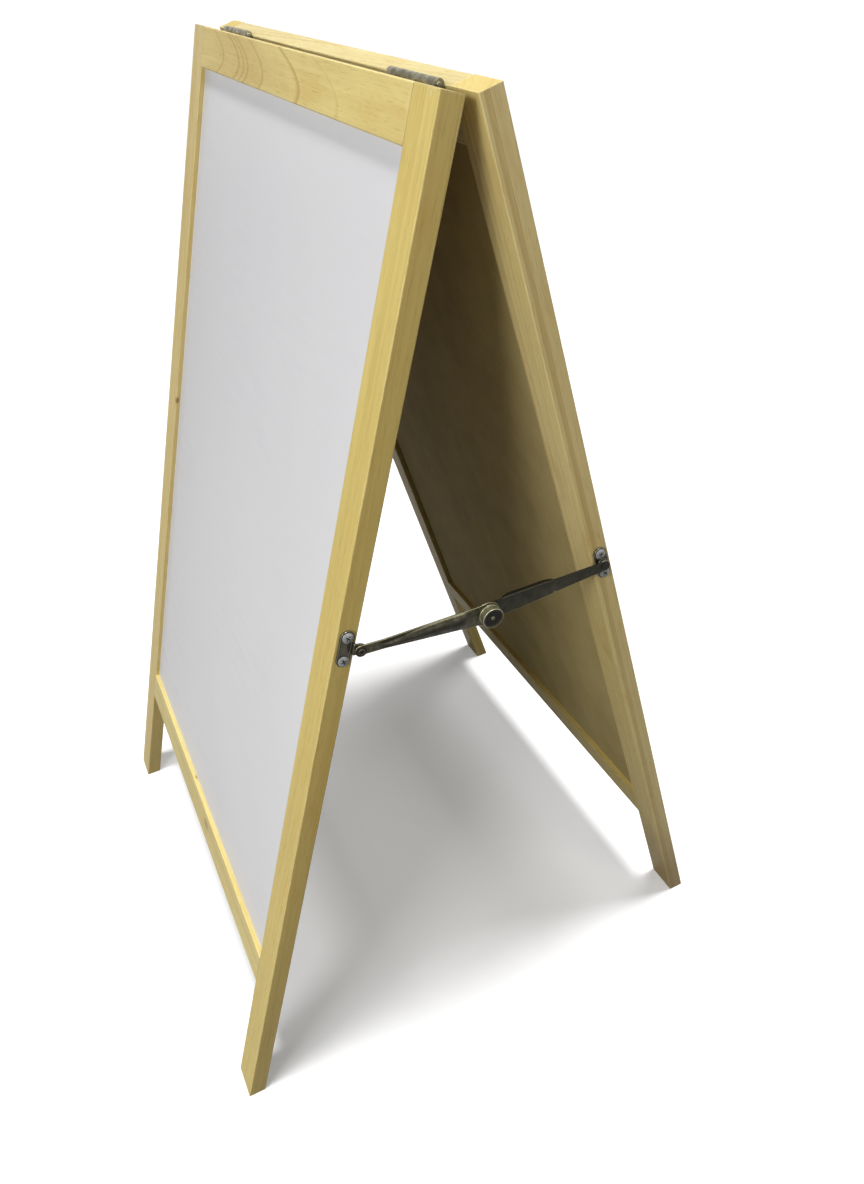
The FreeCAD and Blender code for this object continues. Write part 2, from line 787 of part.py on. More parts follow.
def wooden_frame(name, placement, turn):
    """One grooved stile-and-rail frame with its two-layer board."""
    for side in (1, -1):
        hand = "right" if side * turn > 0 else "left"
        stile("%s_%s_stile" % (name, hand), side, placement)
    top = rail(name + "_top_rail", "top_drop", "opening_top", "opening_top", "top", placement)
    hinge_pilots(top)
    rail(name + "_bottom_rail", "opening_bottom", "rail_foot", "opening_bottom", "foot", placement)
    dowels(name + "_dowels", placement)
    panel(name + "_backing_board", "board_back", "board_thick", placement)
    panel(name + "_white_sheet", "board_joint", "sheet_thick", placement)


def hinge_half(name, placement, turn):
    """This frame's leaf and screws of both hinges."""
    first_knuckle = 0 if name == "front" else 1
    count = (HINGE_KNUCKLES + 1 - first_knuckle) // 2
    head_up = Rotation(Vector(1, 0, 0), -90)
    for side in (1, -1):
        hand = "right" if side * turn > 0 else "left"
        centre = "hinge_offset" if side > 0 else "-hinge_offset"
        leaf_place = shifted(placement, (centre, "0", "0"))
        hinge_leaf("%s_hinge_%s_leaf" % (hand, name), first_knuckle, count, leaf_place)
        screw_place = (centre + " + first_screw", "-leaf_face", "-hinge_screw_drop")
        hinge_screws("%s_hinge_%s_screws" % (hand, name), shifted(placement, screw_place, head_up))


def stay_half(name, placement, turn):
    """This frame's bracket, screws, rivet and arm of both stays, and the arm's part of the knuckle."""
    for side in (1, -1):
        hand = "right" if side * turn > 0 else "left"
        label = "%s_stay_%s" % (hand, name)
        outwards = Rotation(Vector(0, 1, 0), 90 * side)
        face = "half_width" if side > 0 else "-half_width"
        plate_place = shifted(placement, (face, "-mid_face", "-bracket_face"), outwards)
        bracket_screws(label + "_bracket_screws", shifted(plate_place, ("-screw_pitch / 2", "0", "0")))
        if name == "front":
            droop = value("atan(knuckle_sag / front_run)")
            pivot, length = ("-pivot_face", "-pivot_drop"), "front_arm_length"
        else:
            droop = value("atan(rear_sag / rear_run)")
            pivot, length = ("-mid_face", "-boss_drop"), "rear_arm_length"
        lean = value("half_angle") - droop + 90 * side
        arm_place = shifted(placement, (face, *pivot), Rotation(Vector(1, 0, 0), lean) * outwards)
        eye_place = shifted(arm_place, (length, "0", "0"))
        if name == "front":
            eared_bracket(label + "_bracket", "-pivot_lead" if side > 0 else "pivot_lead", plate_place)
            ringed_rivet(label + "_rivet", arm_place)
            front_arm(label + "_arm", arm_place)
            knuckle_cap("%s_stay_knuckle_cap" % hand, eye_place)
        else:
            bossed_bracket(label + "_bracket", "boss_sink" if side > 0 else "-boss_sink", plate_place)
            flat_rivet(label + "_rivet", arm_place)
            rear_arm(label + "_arm", arm_place)
            knuckle_tail("%s_stay_knuckle_tail" % hand, eye_place)


hinge_axis = Vector(0, 0, value("axis_height"))
front_place = Placement(hinge_axis, Rotation(Vector(1, 0, 0), -value("half_angle")))
rear_place = Placement(hinge_axis, Rotation(Vector(1, 0, 0), value("half_angle")))
rear_place = rear_place * Placement(Vector(), Rotation(Vector(0, 0, 1), 180))
for frame_name, frame_place, frame_turn in (("front", front_place, 1), ("rear", rear_place, -1)):
    wooden_frame(frame_name, frame_place, frame_turn)
    hinge_half(frame_name, frame_place, frame_turn)
    stay_half(frame_name, frame_place, frame_turn)
along_hinge = Rotation(Vector(0, 1, 0), 90)
for pin_hand, pin_centre in (("right", "hinge_offset"), ("left", "-hinge_offset")):
    hinge_pin(pin_hand + "_hinge_pin", shifted(front_place, (pin_centre, "0", "0"), along_hinge))

# Every object must have been made, and every sub-part must be sound, before anything is written
doc.recompute()
for thing in doc.Objects:
    if "Invalid" in thing.State or "Error" in thing.State:
        raise RuntimeError("%s failed" % thing.Label)
for node in nodes:
    if node.Shape.isNull() or not node.Shape.isValid() or not node.Shape.Solids:
        raise RuntimeError("%s is not a sound solid" % node.Label)
os.makedirs("parts", exist_ok=True)
for node in nodes:
    node.Shape.exportStep(os.path.join("parts", node.Label + ".step"))
    print("%-34s solids %d  volume %.1f" % (node.Label, len(node.Shape.Solids), node.Shape.Volume))
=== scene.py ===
import bmesh
import bpy
import json
import math
import numpy as np
from collections import namedtuple
from mathutils import Matrix, Vector


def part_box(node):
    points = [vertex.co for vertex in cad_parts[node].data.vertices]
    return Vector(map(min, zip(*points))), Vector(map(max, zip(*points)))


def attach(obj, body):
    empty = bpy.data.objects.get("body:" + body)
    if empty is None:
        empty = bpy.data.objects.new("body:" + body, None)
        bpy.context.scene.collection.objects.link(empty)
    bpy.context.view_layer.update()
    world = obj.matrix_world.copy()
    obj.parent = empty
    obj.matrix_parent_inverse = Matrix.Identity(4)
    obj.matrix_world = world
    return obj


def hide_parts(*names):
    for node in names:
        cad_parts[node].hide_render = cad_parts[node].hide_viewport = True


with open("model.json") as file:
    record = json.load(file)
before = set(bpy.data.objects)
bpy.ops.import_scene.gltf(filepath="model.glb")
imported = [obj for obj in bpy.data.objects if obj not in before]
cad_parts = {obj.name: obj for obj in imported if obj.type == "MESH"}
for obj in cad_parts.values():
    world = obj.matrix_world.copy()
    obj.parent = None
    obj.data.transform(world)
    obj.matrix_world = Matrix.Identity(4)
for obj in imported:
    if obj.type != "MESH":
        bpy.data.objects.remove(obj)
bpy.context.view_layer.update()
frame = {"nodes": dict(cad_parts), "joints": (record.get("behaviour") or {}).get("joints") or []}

# A folding pavement sign: two wooden frames with white writing panels, two butt hinges, two folding stays.
# Lengths are metres. A frame's own axes are X across, -Y out of its panel and Z up its slope.

NODES = frame["nodes"]
JOINTS = {joint["name"]: joint for joint in frame["joints"]}
MM = 0.001

# Where the two frames stand
HINGE_AXIS = np.array(JOINTS["fold"]["pos_m"])
LEAN = math.radians(JOINTS["fold"]["range_deg"][1] / 2)
TURN = {
    "front": Matrix.Rotation(-LEAN, 3, "X"),
    "rear": Matrix.Rotation(LEAN, 3, "X") @ Matrix.Rotation(math.pi, 3, "Z"),
}


def frame_box(node, name):
    """Lowest and highest corner of a node in the axes of the front or rear frame, from the hinge axis."""
    mesh = NODES[node].data
    points = np.empty(len(mesh.vertices) * 3)
    mesh.vertices.foreach_get("co", points)
    points = (points.reshape(-1, 3) - HINGE_AXIS) @ np.array(TURN[name])
    return points.min(axis=0), points.max(axis=0)


# Node helpers

class Maker:
    """Adds nodes to one tree. A value given to a node is a number, a colour, a vector or an output."""

    def __init__(self, tree):
        self.tree = tree

    def node(self, kind, values=None, **settings):
        made = self.tree.nodes.new("ShaderNode" + kind)
        for name, setting in settings.items():
            setattr(made, name, setting)
        for socket, value in (values or {}).items():
            self.feed(made.inputs[socket], value)
        return made

    def feed(self, socket, value):
        if isinstance(value, bpy.types.NodeSocket):
            self.tree.links.new(value, socket)
        elif socket.type == "RGBA":
            socket.default_value = (*value[:3], 1)
        else:
            socket.default_value = value

    def math(self, operation, first, second=0.0, clamp=False):
        return self.node("Math", {0: first, 1: second}, operation=operation, use_clamp=clamp).outputs[0]

    def plus(self, first, second, share, clamp=False):
        """The first value and a share of the second."""
        return self.math("ADD", first, self.math("MULTIPLY", second, share), clamp)

    def vector(self, operation, first, second=(0, 0, 0)):
        made = self.node("VectorMath", {0: first, 1: second}, operation=operation)
        single = operation in ("LENGTH", "DOT_PRODUCT")
        return made.outputs["Value" if single else "Vector"]

    def times(self, point, factor):
        return self.node("VectorMath", {0: point, "Scale": factor}, operation="SCALE").outputs[0]

    def parts(self, point):
        return self.node("SeparateXYZ", {0: point}).outputs

    def clouds(self, point, repeats, detail=2.0, roughness=0.5):
        """A noise that repeats so many times in a metre, alike all ways or by axis."""
        if isinstance(repeats, tuple):
            point = self.vector("MULTIPLY", point, repeats)
            repeats = 1.0
        values = {"Vector": point, "Scale": repeats, "Detail": detail, "Roughness": roughness}
        return self.node("TexNoise", values)

    def noise(self, *pattern):
        return self.clouds(*pattern).outputs[0]

    def noise_vector(self, *pattern):
        return self.vector("SUBTRACT", self.clouds(*pattern).outputs[1], (0.5, 0.5, 0.5))

    def remap(self, value, low, high, to_low=0.0, to_high=1.0):
        values = {"Value": value, "From Min": low, "From Max": high, "To Min": to_low, "To Max": to_high}
        return self.node("MapRange", values, interpolation_type="SMOOTHSTEP").outputs[0]

    def mix(self, factor, first, second, mode="MIX"):
        made = self.node("Mix", data_type="RGBA", blend_type=mode)
        for index, value in ((0, factor), (6, first), (7, second)):
            self.feed(made.inputs[index], value)
        return made.outputs[2]

    def stain(self, color, mask, share, tone):
        """A colour with a tone laid over it by a share of a mask."""
        return self.mix(self.math("MULTIPLY", mask, share), color, tone)

    def group(self, effect, values):
        return self.node("Group", values, node_tree=effect).outputs


def new_effect(name, inputs, outputs):
    """An empty shader node group with named sockets; returns its maker, its inputs and its outputs."""
    tree = bpy.data.node_groups.new(name, "ShaderNodeTree")
    for socket, kind in inputs.items():
        tree.interface.new_socket(socket, in_out="INPUT", socket_type="NodeSocket" + kind)
    for socket, kind in outputs.items():
        tree.interface.new_socket(socket, in_out="OUTPUT", socket_type="NodeSocket" + kind)
    source = tree.nodes.new("NodeGroupInput").outputs
    target = tree.nodes.new("NodeGroupOutput").inputs
    return Maker(tree), source, target


def new_finish(name, constants):
    """An empty material; returns it, its maker and its Principled BSDF with constants set on it."""
    material = bpy.data.materials.new(name)
    material.use_nodes = True
    maker = Maker(material.node_tree)
    shader = material.node_tree.nodes["Principled BSDF"]
    for socket, value in constants.items():
        maker.feed(shader.inputs[socket], value)
    return material, maker, shader


def bump(maker, shader, height, depth):
    """Raises the surface by a height that changes over it, up to a depth."""
    made = maker.node("Bump", {"Height": height, "Distance": depth, "Strength": 1.0})
    maker.feed(shader.inputs["Normal"], made.outputs[0])


# Shared effects

SEED_STEP = (0.37, 0.73, 1.9)
MOTTLE_WOOD = (0.60, 0.39, 0.09)
PORE_WOOD = (0.16, 0.09, 0.03)
METAL_GRIME_AND_SHADE = (0.012, 0.011, 0.008)
LEAST_WEAR = 0.6 * MM
MOST_WEAR = 2.6 * MM


def grain_effect():
    """Solid wood about a pith line: rings are the distance from the line, fibres and pores run along it."""
    maker, source, target = new_effect(
        "wood grain",
        {"Point": "Vector", "Pith": "Vector", "Lean": "Vector", "Ring": "Float", "Late": "Float",
         "Sway": "Float", "Seed": "Float", "Pale": "Color", "Dark": "Color"},
        {"Color": "Color", "Roughness": "Float", "Height": "Float", "Radius": "Float"},
    )
    point = maker.vector("ADD", source["Point"], maker.times(SEED_STEP, source["Seed"]))
    along = maker.parts(source["Point"])[2]
    pith = maker.vector("ADD", source["Pith"], maker.times(source["Lean"], along))
    wander = maker.times(maker.noise_vector(point, (9, 9, 2.2)), source["Sway"])
    from_pith = maker.vector("ADD", maker.vector("SUBTRACT", source["Point"], pith), wander)
    radius = maker.vector("LENGTH", maker.vector("MULTIPLY", from_pith, (1, 1, 0)))
    maker.feed(target["Radius"], radius)
    # Rings of uneven width, each with its own strength, dark towards its end
    years = maker.math("DIVIDE", radius, source["Ring"])
    line = maker.node("CombineXYZ", {0: years, 1: source["Seed"]}).outputs[0]
    years = maker.plus(years, maker.noise(line, 0.6, 1.0), 3.0)
    within = maker.math("FRACT", years)
    year = maker.math("FLOOR", years)
    strength = maker.node("TexWhiteNoise", {"W": year}, noise_dimensions="1D").outputs[0]
    late = maker.math("MULTIPLY", maker.remap(within, 0.45, 0.95), maker.remap(within, 1.0, 0.95))
    late = maker.math("MULTIPLY", late, maker.remap(strength, 0.1, 0.95, 0.12, 1.0))
    fibre = maker.noise(point, (620, 620, 9), 3.0, 0.6)
    streak = maker.noise(point, (120, 120, 2.5), 3.0, 0.55)
    cloud = maker.noise(point, (22, 22, 5), 2.0)
    mottle = maker.remap(maker.noise(point, (45, 45, 14), 3.0, 0.6), 0.5, 0.75)
    pore = maker.remap(maker.noise(point, (1500, 1500, 55), 1.0), 0.62, 0.72)
    tone = maker.math("MULTIPLY", late, source["Late"])
    for value, share in ((fibre, 0.35), (streak, 0.55), (cloud, 0.6)):
        tone = maker.plus(tone, maker.math("SUBTRACT", value, 0.5), share)
    tone = maker.math("ADD", tone, 0.25, clamp=True)
    color = maker.mix(tone, source["Pale"], source["Dark"])
    color = maker.stain(color, mottle, 0.4, MOTTLE_WOOD)
    maker.feed(target["Color"], maker.stain(color, pore, 0.22, PORE_WOOD))
    maker.feed(target["Roughness"], maker.plus(maker.plus(0.36, fibre, 0.16), pore, 0.2))
    height = maker.plus(maker.math("MULTIPLY", fibre, 0.5), late, 0.35)
    maker.feed(target["Height"], maker.plus(height, pore, -0.6))
    return maker.tree


def bar_effect():
    """Edges of a straight bar, where the middle one of its three depths is short, and its cut ends."""
    maker, source, target = new_effect(
        "bar edges",
        {"Point": "Vector", "Half": "Vector", "Normal": "Vector", "Along": "Vector"},
        {"Edge": "Float", "End": "Float"},
    )
    depth = maker.parts(maker.vector("SUBTRACT", source["Half"], maker.vector("ABSOLUTE", source["Point"])))
    least = maker.math("MINIMUM", depth[0], depth[1])
    most = maker.math("MAXIMUM", depth[0], depth[1])
    middle = maker.math("MAXIMUM", least, maker.math("MINIMUM", most, depth[2]))
    wear = maker.noise(source["Point"], (160, 160, 30), 3.0, 0.6)
    reach = maker.remap(wear, 0.35, 0.75, LEAST_WEAR, MOST_WEAR)
    inward = maker.math("DIVIDE", middle, reach, clamp=True)
    maker.feed(target["Edge"], maker.math("SUBTRACT", 1.0, inward, clamp=True))
    facing = maker.math("ABSOLUTE", maker.vector("DOT_PRODUCT", source["Normal"], source["Along"]))
    maker.feed(target["End"], maker.remap(facing, 0.75, 0.9))
    return maker.tree


def spot_effect():
    """A small rounded mark: 1 in its middle, 0 beyond its size along each axis."""
    maker, source, target = new_effect(
        "spot", {"Point": "Vector", "Place": "Vector", "Size": "Vector"}, {"Mask": "Float"})
    away = maker.vector("SUBTRACT", source["Point"], source["Place"])
    away = maker.vector("DIVIDE", away, source["Size"])
    maker.feed(target["Mask"], maker.remap(maker.vector("LENGTH", away), 1.0, 0.3))
    return maker.tree


def patina_effect():
    """Plated steel gone dull: a clouded dark skin, rubbed through to bright metal where the edge value is
    above 0 and darkened where it is below. On the stay arms the edge value also carries painted highlight
    and painted shade, and on the screws painted shade."""
    maker, source, target = new_effect(
        "metal patina",
        {"Point": "Vector", "Edge": "Float", "Skin": "Color", "Cloud": "Color", "Bright": "Color",
         "Seed": "Float"},
        {"Color": "Color", "Roughness": "Float", "Height": "Float"},
    )
    shift = maker.node("CombineXYZ", {0: source["Seed"], 1: source["Seed"]}).outputs[0]
    point = maker.vector("ADD", source["Point"], shift)
    cloud = maker.noise(point, 110.0, 4.0, 0.6)
    speck = maker.noise(point, 1400.0, 3.0, 0.65)
    rub = maker.remap(maker.plus(source["Edge"], maker.math("SUBTRACT", speck, 0.55), 0.9), 0.25, 0.85)
    grime_and_shade = maker.math("MULTIPLY", source["Edge"], -0.6, clamp=True)
    color = maker.mix(maker.remap(cloud, 0.35, 0.68), source["Skin"], source["Cloud"])
    color = maker.stain(color, maker.remap(speck, 0.55, 0.8), 0.35, source["Bright"])
    color = maker.mix(grime_and_shade, color, METAL_GRIME_AND_SHADE)
    maker.feed(target["Color"], maker.mix(rub, color, source["Bright"]))
    rough = maker.remap(cloud, 0.3, 0.7, 0.34, 0.52)
    maker.feed(target["Roughness"], maker.plus(rough, rub, -0.12))
    maker.feed(target["Height"], maker.plus(cloud, speck, 0.4))
    return maker.tree


def smudge_effect():
    """Faint handling marks: broad clouds with wiped streaks through them."""
    maker, source, target = new_effect("smudges", {"Point": "Vector", "Scale": "Float"}, {"Mask": "Float"})
    point = maker.times(source["Point"], source["Scale"])
    wipe = {"Vector": point, "Rotation": (0, 0.6, 0.4), "Scale": (1, 1, 7)}
    broad = maker.remap(maker.noise(point, 1.0, 4.0, 0.6), 0.4, 0.7)
    wiped = maker.remap(maker.noise(maker.node("Mapping", wipe).outputs[0], 2.2, 3.0, 0.6), 0.38, 0.7)
    maker.feed(target["Mask"], maker.math("MULTIPLY", broad, wiped))
    return maker.tree


GRAIN = grain_effect()
BAR_EDGES = bar_effect()
SPOT = spot_effect()
PATINA = patina_effect()
SMUDGES = smudge_effect()


# Finishes

def dress(node, *finishes):
    """Gives a node its finishes in place of the plain one it came with."""
    slots = NODES[node].data.materials
    slots.clear()
    for finish in finishes:
        slots.append(finish)


PALE_WOOD = (0.72, 0.585, 0.205)
DARK_WOOD = (0.47, 0.31, 0.075)
WORN_AND_HIGHLIGHT_WOOD = (0.80, 0.70, 0.36)
END_WOOD = (0.60, 0.47, 0.17)
KNOT_WOOD = (0.20, 0.10, 0.03)
RING_WOOD = (0.40, 0.22, 0.04)
PALE_CHIP = (0.85, 0.80, 0.60)
FOOT_SHADE = (0.26, 0.15, 0.05)
WOOD_SHINE = 0.22
RAIL_AXES = Matrix(((0, 0, 1), (0, -1, 0), (1, 0, 0)))

# The wooden bars, with lengths in millimetres: the frame of each and whether it runs up it, where the pith
# lies across and through it, how that leans along it, the ring width, how dark the late wood is, how far
# the grain wanders, a number that sets the bar apart and the tint of its wood. The paler, bluer tints of
# the front bottom rail and the rear top rail are painted sheen, for the light on their top faces.
Bar = namedtuple("Bar", "node frame upright pith lean ring late sway seed tint")
BARS = (
    Bar("front_top_rail", "front", False, (-9, -90.5), (-0.03, -0.06), 8, 0.08, 2, 1, (1.05, 1.07, 1.16)),
    Bar("front_bottom_rail", "front", False, (50, -90), (0.01, -0.02), 3.4, 0.4, 4, 2, (1, 1.05, 1.25)),
    Bar("front_right_stile", "front", True, (-90, 50), (0.012, 0.004), 3.6, 0.3, 5, 3, (0.95, 0.94, 0.86)),
    Bar("front_left_stile", "front", True, (80, 70), (-0.01, 0.006), 3.3, 0.4, 5, 4, (1, 1, 1.2)),
    Bar("rear_top_rail", "rear", False, (20, -50), (0.01, -0.06), 4.5, 0.45, 6, 5, (1, 1.06, 1.4)),
    Bar("rear_bottom_rail", "rear", False, (60, -80), (0, 0.02), 3.4, 0.4, 4, 6, (1, 1, 1)),
    Bar("rear_right_stile", "rear", True, (35, 35), (-0.005, 0.008), 2.6, 0.5, 2, 7, (1.17, 1.18, 1.36)),
    Bar("rear_left_stile", "rear", True, (70, 60), (0.008, -0.01), 3.5, 0.4, 5, 8, (0.92, 0.92, 0.92)),
)

# Dark rings on a bar's face, in millimetres along it: the place from its middle, how wide the ring is
# before that and how soon it ends after, then its strength
RING_LINES = {
    "front_top_rail": (
        (-176, 7, 2, 0.5), (-120, 8, 2, 0.6), (-104, 6, 2, 0.5), (-90, 6, 2, 0.6),
        (-42, 9, 2, 0.5), (59, 12, 3, 0.6), (150, 8, 3, 0.2), (-100, 200, 130, 0.3),
    ),
}

# Marks on a bar, in millimetres in its own axes from its middle: place, size, colour and strength
MARKS = {
    "front_left_stile": (((19.5, -8.3, 112), (5, 4, 6), KNOT_WOOD, 0.9),),
    "front_bottom_rail": (
        ((4, 9.5, 41), (7, 5, 14), KNOT_WOOD, 0.5),
        ((19.5, 4.4, -32), (3, 3, 5), KNOT_WOOD, 0.7),
    ),
    "front_right_stile": (((8.1, -9.5, 531), (1.2, 2, 3.5), PALE_CHIP, 0.35),),
    # Painted shade: the rear right stile darkens towards its foot, by the floor
    "rear_right_stile": (((0, 0, -533), (60, 60, 200), FOOT_SHADE, 0.6),),
}

# Painted shade on the outer sides of two stiles: tints that set them apart from their faces
SIDE_SHADE_TINTS = {"front_right_stile": (0.94, 0.90, 0.90), "rear_right_stile": (0.96, 0.97, 1.13)}


def bar_place(bar):
    """Axes of a bar with Z along it, its middle, and its half size along those axes."""
    low, high = frame_box(bar.node, bar.frame)
    turn = TURN[bar.frame]
    middle = HINGE_AXIS + np.array(turn) @ ((low + high) / 2)
    half = (high - low) / 2
    if bar.upright:
        return turn, middle, half
    return turn @ RAIL_AXES, middle, half[[2, 1, 0]]


def ring_lines(maker, bar, half, radius, color):
    """Lays a bar's dark rings over its colour: the lean turns a length along the face into one in radius."""
    for middle, width, fade, strength in RING_LINES.get(bar.node, ()):
        past = maker.math("SUBTRACT", radius, abs(half[1] - (bar.pith[1] + bar.lean[1] * middle) * MM))
        share = abs(bar.lean[1]) * MM
        before = maker.remap(past, -width * share, 0)
        after = maker.remap(past, fade * share, 0)
        color = maker.stain(color, maker.math("MULTIPLY", before, after), strength, RING_WOOD)
    return color


def marks(maker, bar, point, color):
    """Lays a bar's knots, chip and painted shade over its colour."""
    for middle, size, tone, strength in MARKS.get(bar.node, ()):
        values = {"Point": point, "Place": np.array(middle) * MM, "Size": np.array(size) * MM}
        color = maker.stain(color, maker.group(SPOT, values)["Mask"], strength, tone)
    return color


def planed_wood(bar):
    """Clear-finished wood of one bar, with its grain along the bar and its own place in the log."""
    axes, middle, half = bar_place(bar)
    name = "wood " + bar.node.replace("_", " ")
    material, maker, shader = new_finish(name, {"Specular IOR Level": WOOD_SHINE})
    place = maker.node("TexCoord").outputs
    turn = {"Vector": place["Object"], "Location": middle, "Rotation": axes.to_euler()}
    point = maker.node("Mapping", turn, vector_type="TEXTURE").outputs[0]
    grain = maker.group(GRAIN, {
        "Point": point, "Pith": np.array((*bar.pith, 0)) * MM, "Lean": (*bar.lean, 0),
        "Ring": bar.ring * MM, "Late": bar.late, "Sway": bar.sway * MM, "Seed": bar.seed,
        "Pale": np.array(PALE_WOOD) * bar.tint, "Dark": np.array(DARK_WOOD) * bar.tint,
    })
    along = axes @ Vector((0, 0, 1))
    edges = maker.group(BAR_EDGES, {
        "Point": point, "Half": half, "Normal": place["Normal"], "Along": along,
    })
    color = ring_lines(maker, bar, half, grain["Radius"], grain["Color"])
    color = marks(maker, bar, point, color)
    # The stile's outer side gets its painted shade tint
    if bar.node in SIDE_SHADE_TINTS:
        shaded_side = maker.remap(maker.parts(place["Normal"])[0], 0.6, 0.9)
        color = maker.mix(shaded_side, color, SIDE_SHADE_TINTS[bar.node], "MULTIPLY")
    color = maker.stain(color, edges["End"], 0.55, END_WOOD)
    # Pale eased edges: partly wear, partly a painted highlight where the edges catch the light
    maker.feed(shader.inputs["Base Color"], maker.stain(color, edges["Edge"], 0.45, WORN_AND_HIGHLIGHT_WOOD))
    maker.feed(shader.inputs["Roughness"], maker.plus(grain["Roughness"], edges["End"], 0.25, clamp=True))
    bump(maker, shader, grain["Height"], depth=0.12 * MM)
    return material


WHITE_FACE = (0.71, 0.705, 0.715)
WHITE_HAZE = (0.68, 0.675, 0.69)
WHITE_SMUDGE = (0.62, 0.615, 0.64)


def white_writing_face():
    """Smooth white sheet with wiped smudges and a faint orange peel."""
    material, maker, shader = new_finish("white writing face", {"Specular IOR Level": 0.3})
    point = maker.node("TexCoord").outputs["Object"]
    smudge = maker.group(SMUDGES, {"Point": point, "Scale": 7.0})["Mask"]
    haze = maker.remap(maker.noise(point, 2.6, 3.0), 0.3, 0.7)
    color = maker.stain(maker.mix(haze, WHITE_FACE, WHITE_HAZE), smudge, 0.14, WHITE_SMUDGE)
    maker.feed(shader.inputs["Base Color"], color)
    maker.feed(shader.inputs["Roughness"], maker.plus(0.3, smudge, 0.16))
    bump(maker, shader, maker.noise(point, 420.0, 2.0), depth=0.03 * MM)
    return material


BOARD_BROWN = (0.55, 0.44, 0.188)
BOARD_CLOUD = (0.445, 0.343, 0.137)
BOARD_STREAK = (0.64, 0.515, 0.235)
BOARD_HAIR = (0.64, 0.515, 0.255)
BOARD_SPECK = (0.10, 0.07, 0.035)
BOARD_GAP_SHADE = (0.02, 0.014, 0.008)
OPENING_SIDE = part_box("front_right_stile")[0].x
GAP_SHADE_FROM = OPENING_SIDE - 5 * MM
GAP_SHADE_FULL = OPENING_SIDE - 3 * MM


def brown_hardboard():
    """Pressed wood fibre: short pale and dark hairs in a clouded brown, with painted shade in the gap beside
    the stiles.
    """
    material, maker, shader = new_finish("brown hardboard", {"Specular IOR Level": 0.12})
    point = maker.node("TexCoord").outputs["Object"]
    cloud = maker.noise(point, 9.0, 4.0, 0.6)
    streak = maker.noise(point, (16, 16, 2.5), 3.0, 0.6)
    hair = maker.noise(point, (900, 900, 260), 3.0, 0.7)
    speck = maker.noise(point, 700.0, 2.0, 0.7)
    # Painted shade: a strip of the board beside each stile is darkened for the shadowed gap there
    gap_shade = maker.remap(maker.math("ABSOLUTE", maker.parts(point)[0]), GAP_SHADE_FROM, GAP_SHADE_FULL)
    color = maker.mix(maker.remap(cloud, 0.3, 0.7), BOARD_BROWN, BOARD_CLOUD)
    color = maker.stain(color, maker.remap(streak, 0.4, 0.7), 0.35, BOARD_STREAK)
    color = maker.stain(color, maker.remap(hair, 0.5, 0.72), 0.4, BOARD_HAIR)
    color = maker.stain(color, maker.remap(speck, 0.6, 0.78), 0.5, BOARD_SPECK)
    maker.feed(shader.inputs["Base Color"], maker.stain(color, gap_shade, 0.85, BOARD_GAP_SHADE))
    maker.feed(shader.inputs["Roughness"], maker.remap(hair, 0.3, 0.7, 0.62, 0.8))
    bump(maker, shader, maker.plus(hair, speck, 0.5), depth=0.12 * MM)
    return material


BEECH = (0.60, 0.44, 0.22)
BEECH_CLOUD = (0.52, 0.36, 0.17)
BEECH_FLECK = (0.30, 0.18, 0.07)


def dowel_wood():
    """Turned beech: short flecks along the dowels, which lie across the sign."""
    material, maker, shader = new_finish("dowel wood", {"Specular IOR Level": WOOD_SHINE})
    point = maker.node("TexCoord").outputs["Object"]
    fleck = maker.noise(point, (160, 1300, 1300), 3.0, 0.6)
    cloud = maker.noise(point, 60.0, 3.0, 0.6)
    color = maker.mix(maker.remap(cloud, 0.3, 0.7), BEECH, BEECH_CLOUD)
    color = maker.stain(color, maker.remap(fleck, 0.52, 0.7), 0.6, BEECH_FLECK)
    maker.feed(shader.inputs["Base Color"], color)
    maker.feed(shader.inputs["Roughness"], maker.remap(fleck, 0.3, 0.7, 0.5, 0.7))
    bump(maker, shader, fleck, depth=0.08 * MM)
    return material


# Metals, each with its skin, the clouds in it and the bright metal below
HINGE_TONES = ((0.28, 0.262, 0.18), (0.13, 0.12, 0.08), (0.48, 0.46, 0.36))
STAY_TONES = ((0.046, 0.043, 0.028), (0.024, 0.022, 0.014), (0.30, 0.28, 0.165))
PLATE_TONES = ((0.085, 0.08, 0.06), (0.045, 0.042, 0.032), (0.30, 0.28, 0.20))
CAP_TONES = ((0.30, 0.28, 0.17), (0.20, 0.185, 0.11), (0.56, 0.54, 0.38))
ZINC_TONES = ((0.30, 0.305, 0.295), (0.15, 0.155, 0.15), (0.52, 0.53, 0.52))


def dull_metal(name, tones, seed, edge=None, metallic=1.0):
    """Dull plated metal; edge is the worn share, or None to read it from the piece's own edge attribute,
    which on the stay arms and screws also holds painted light and shade.
    """
    material, maker, shader = new_finish(name, {"Metallic": metallic})
    point = maker.node("TexCoord").outputs["Object"]
    if edge is None:
        edge = maker.node("Attribute", attribute_name="edge").outputs["Fac"]
    skin, cloud, bright = tones
    values = {"Point": point, "Edge": edge, "Skin": skin, "Cloud": cloud, "Bright": bright, "Seed": seed}
    patina = maker.group(PATINA, values)
    maker.feed(shader.inputs["Base Color"], patina["Color"])
    maker.feed(shader.inputs["Roughness"], patina["Roughness"])
    bump(maker, shader, patina["Height"], depth=0.05 * MM)
    return material


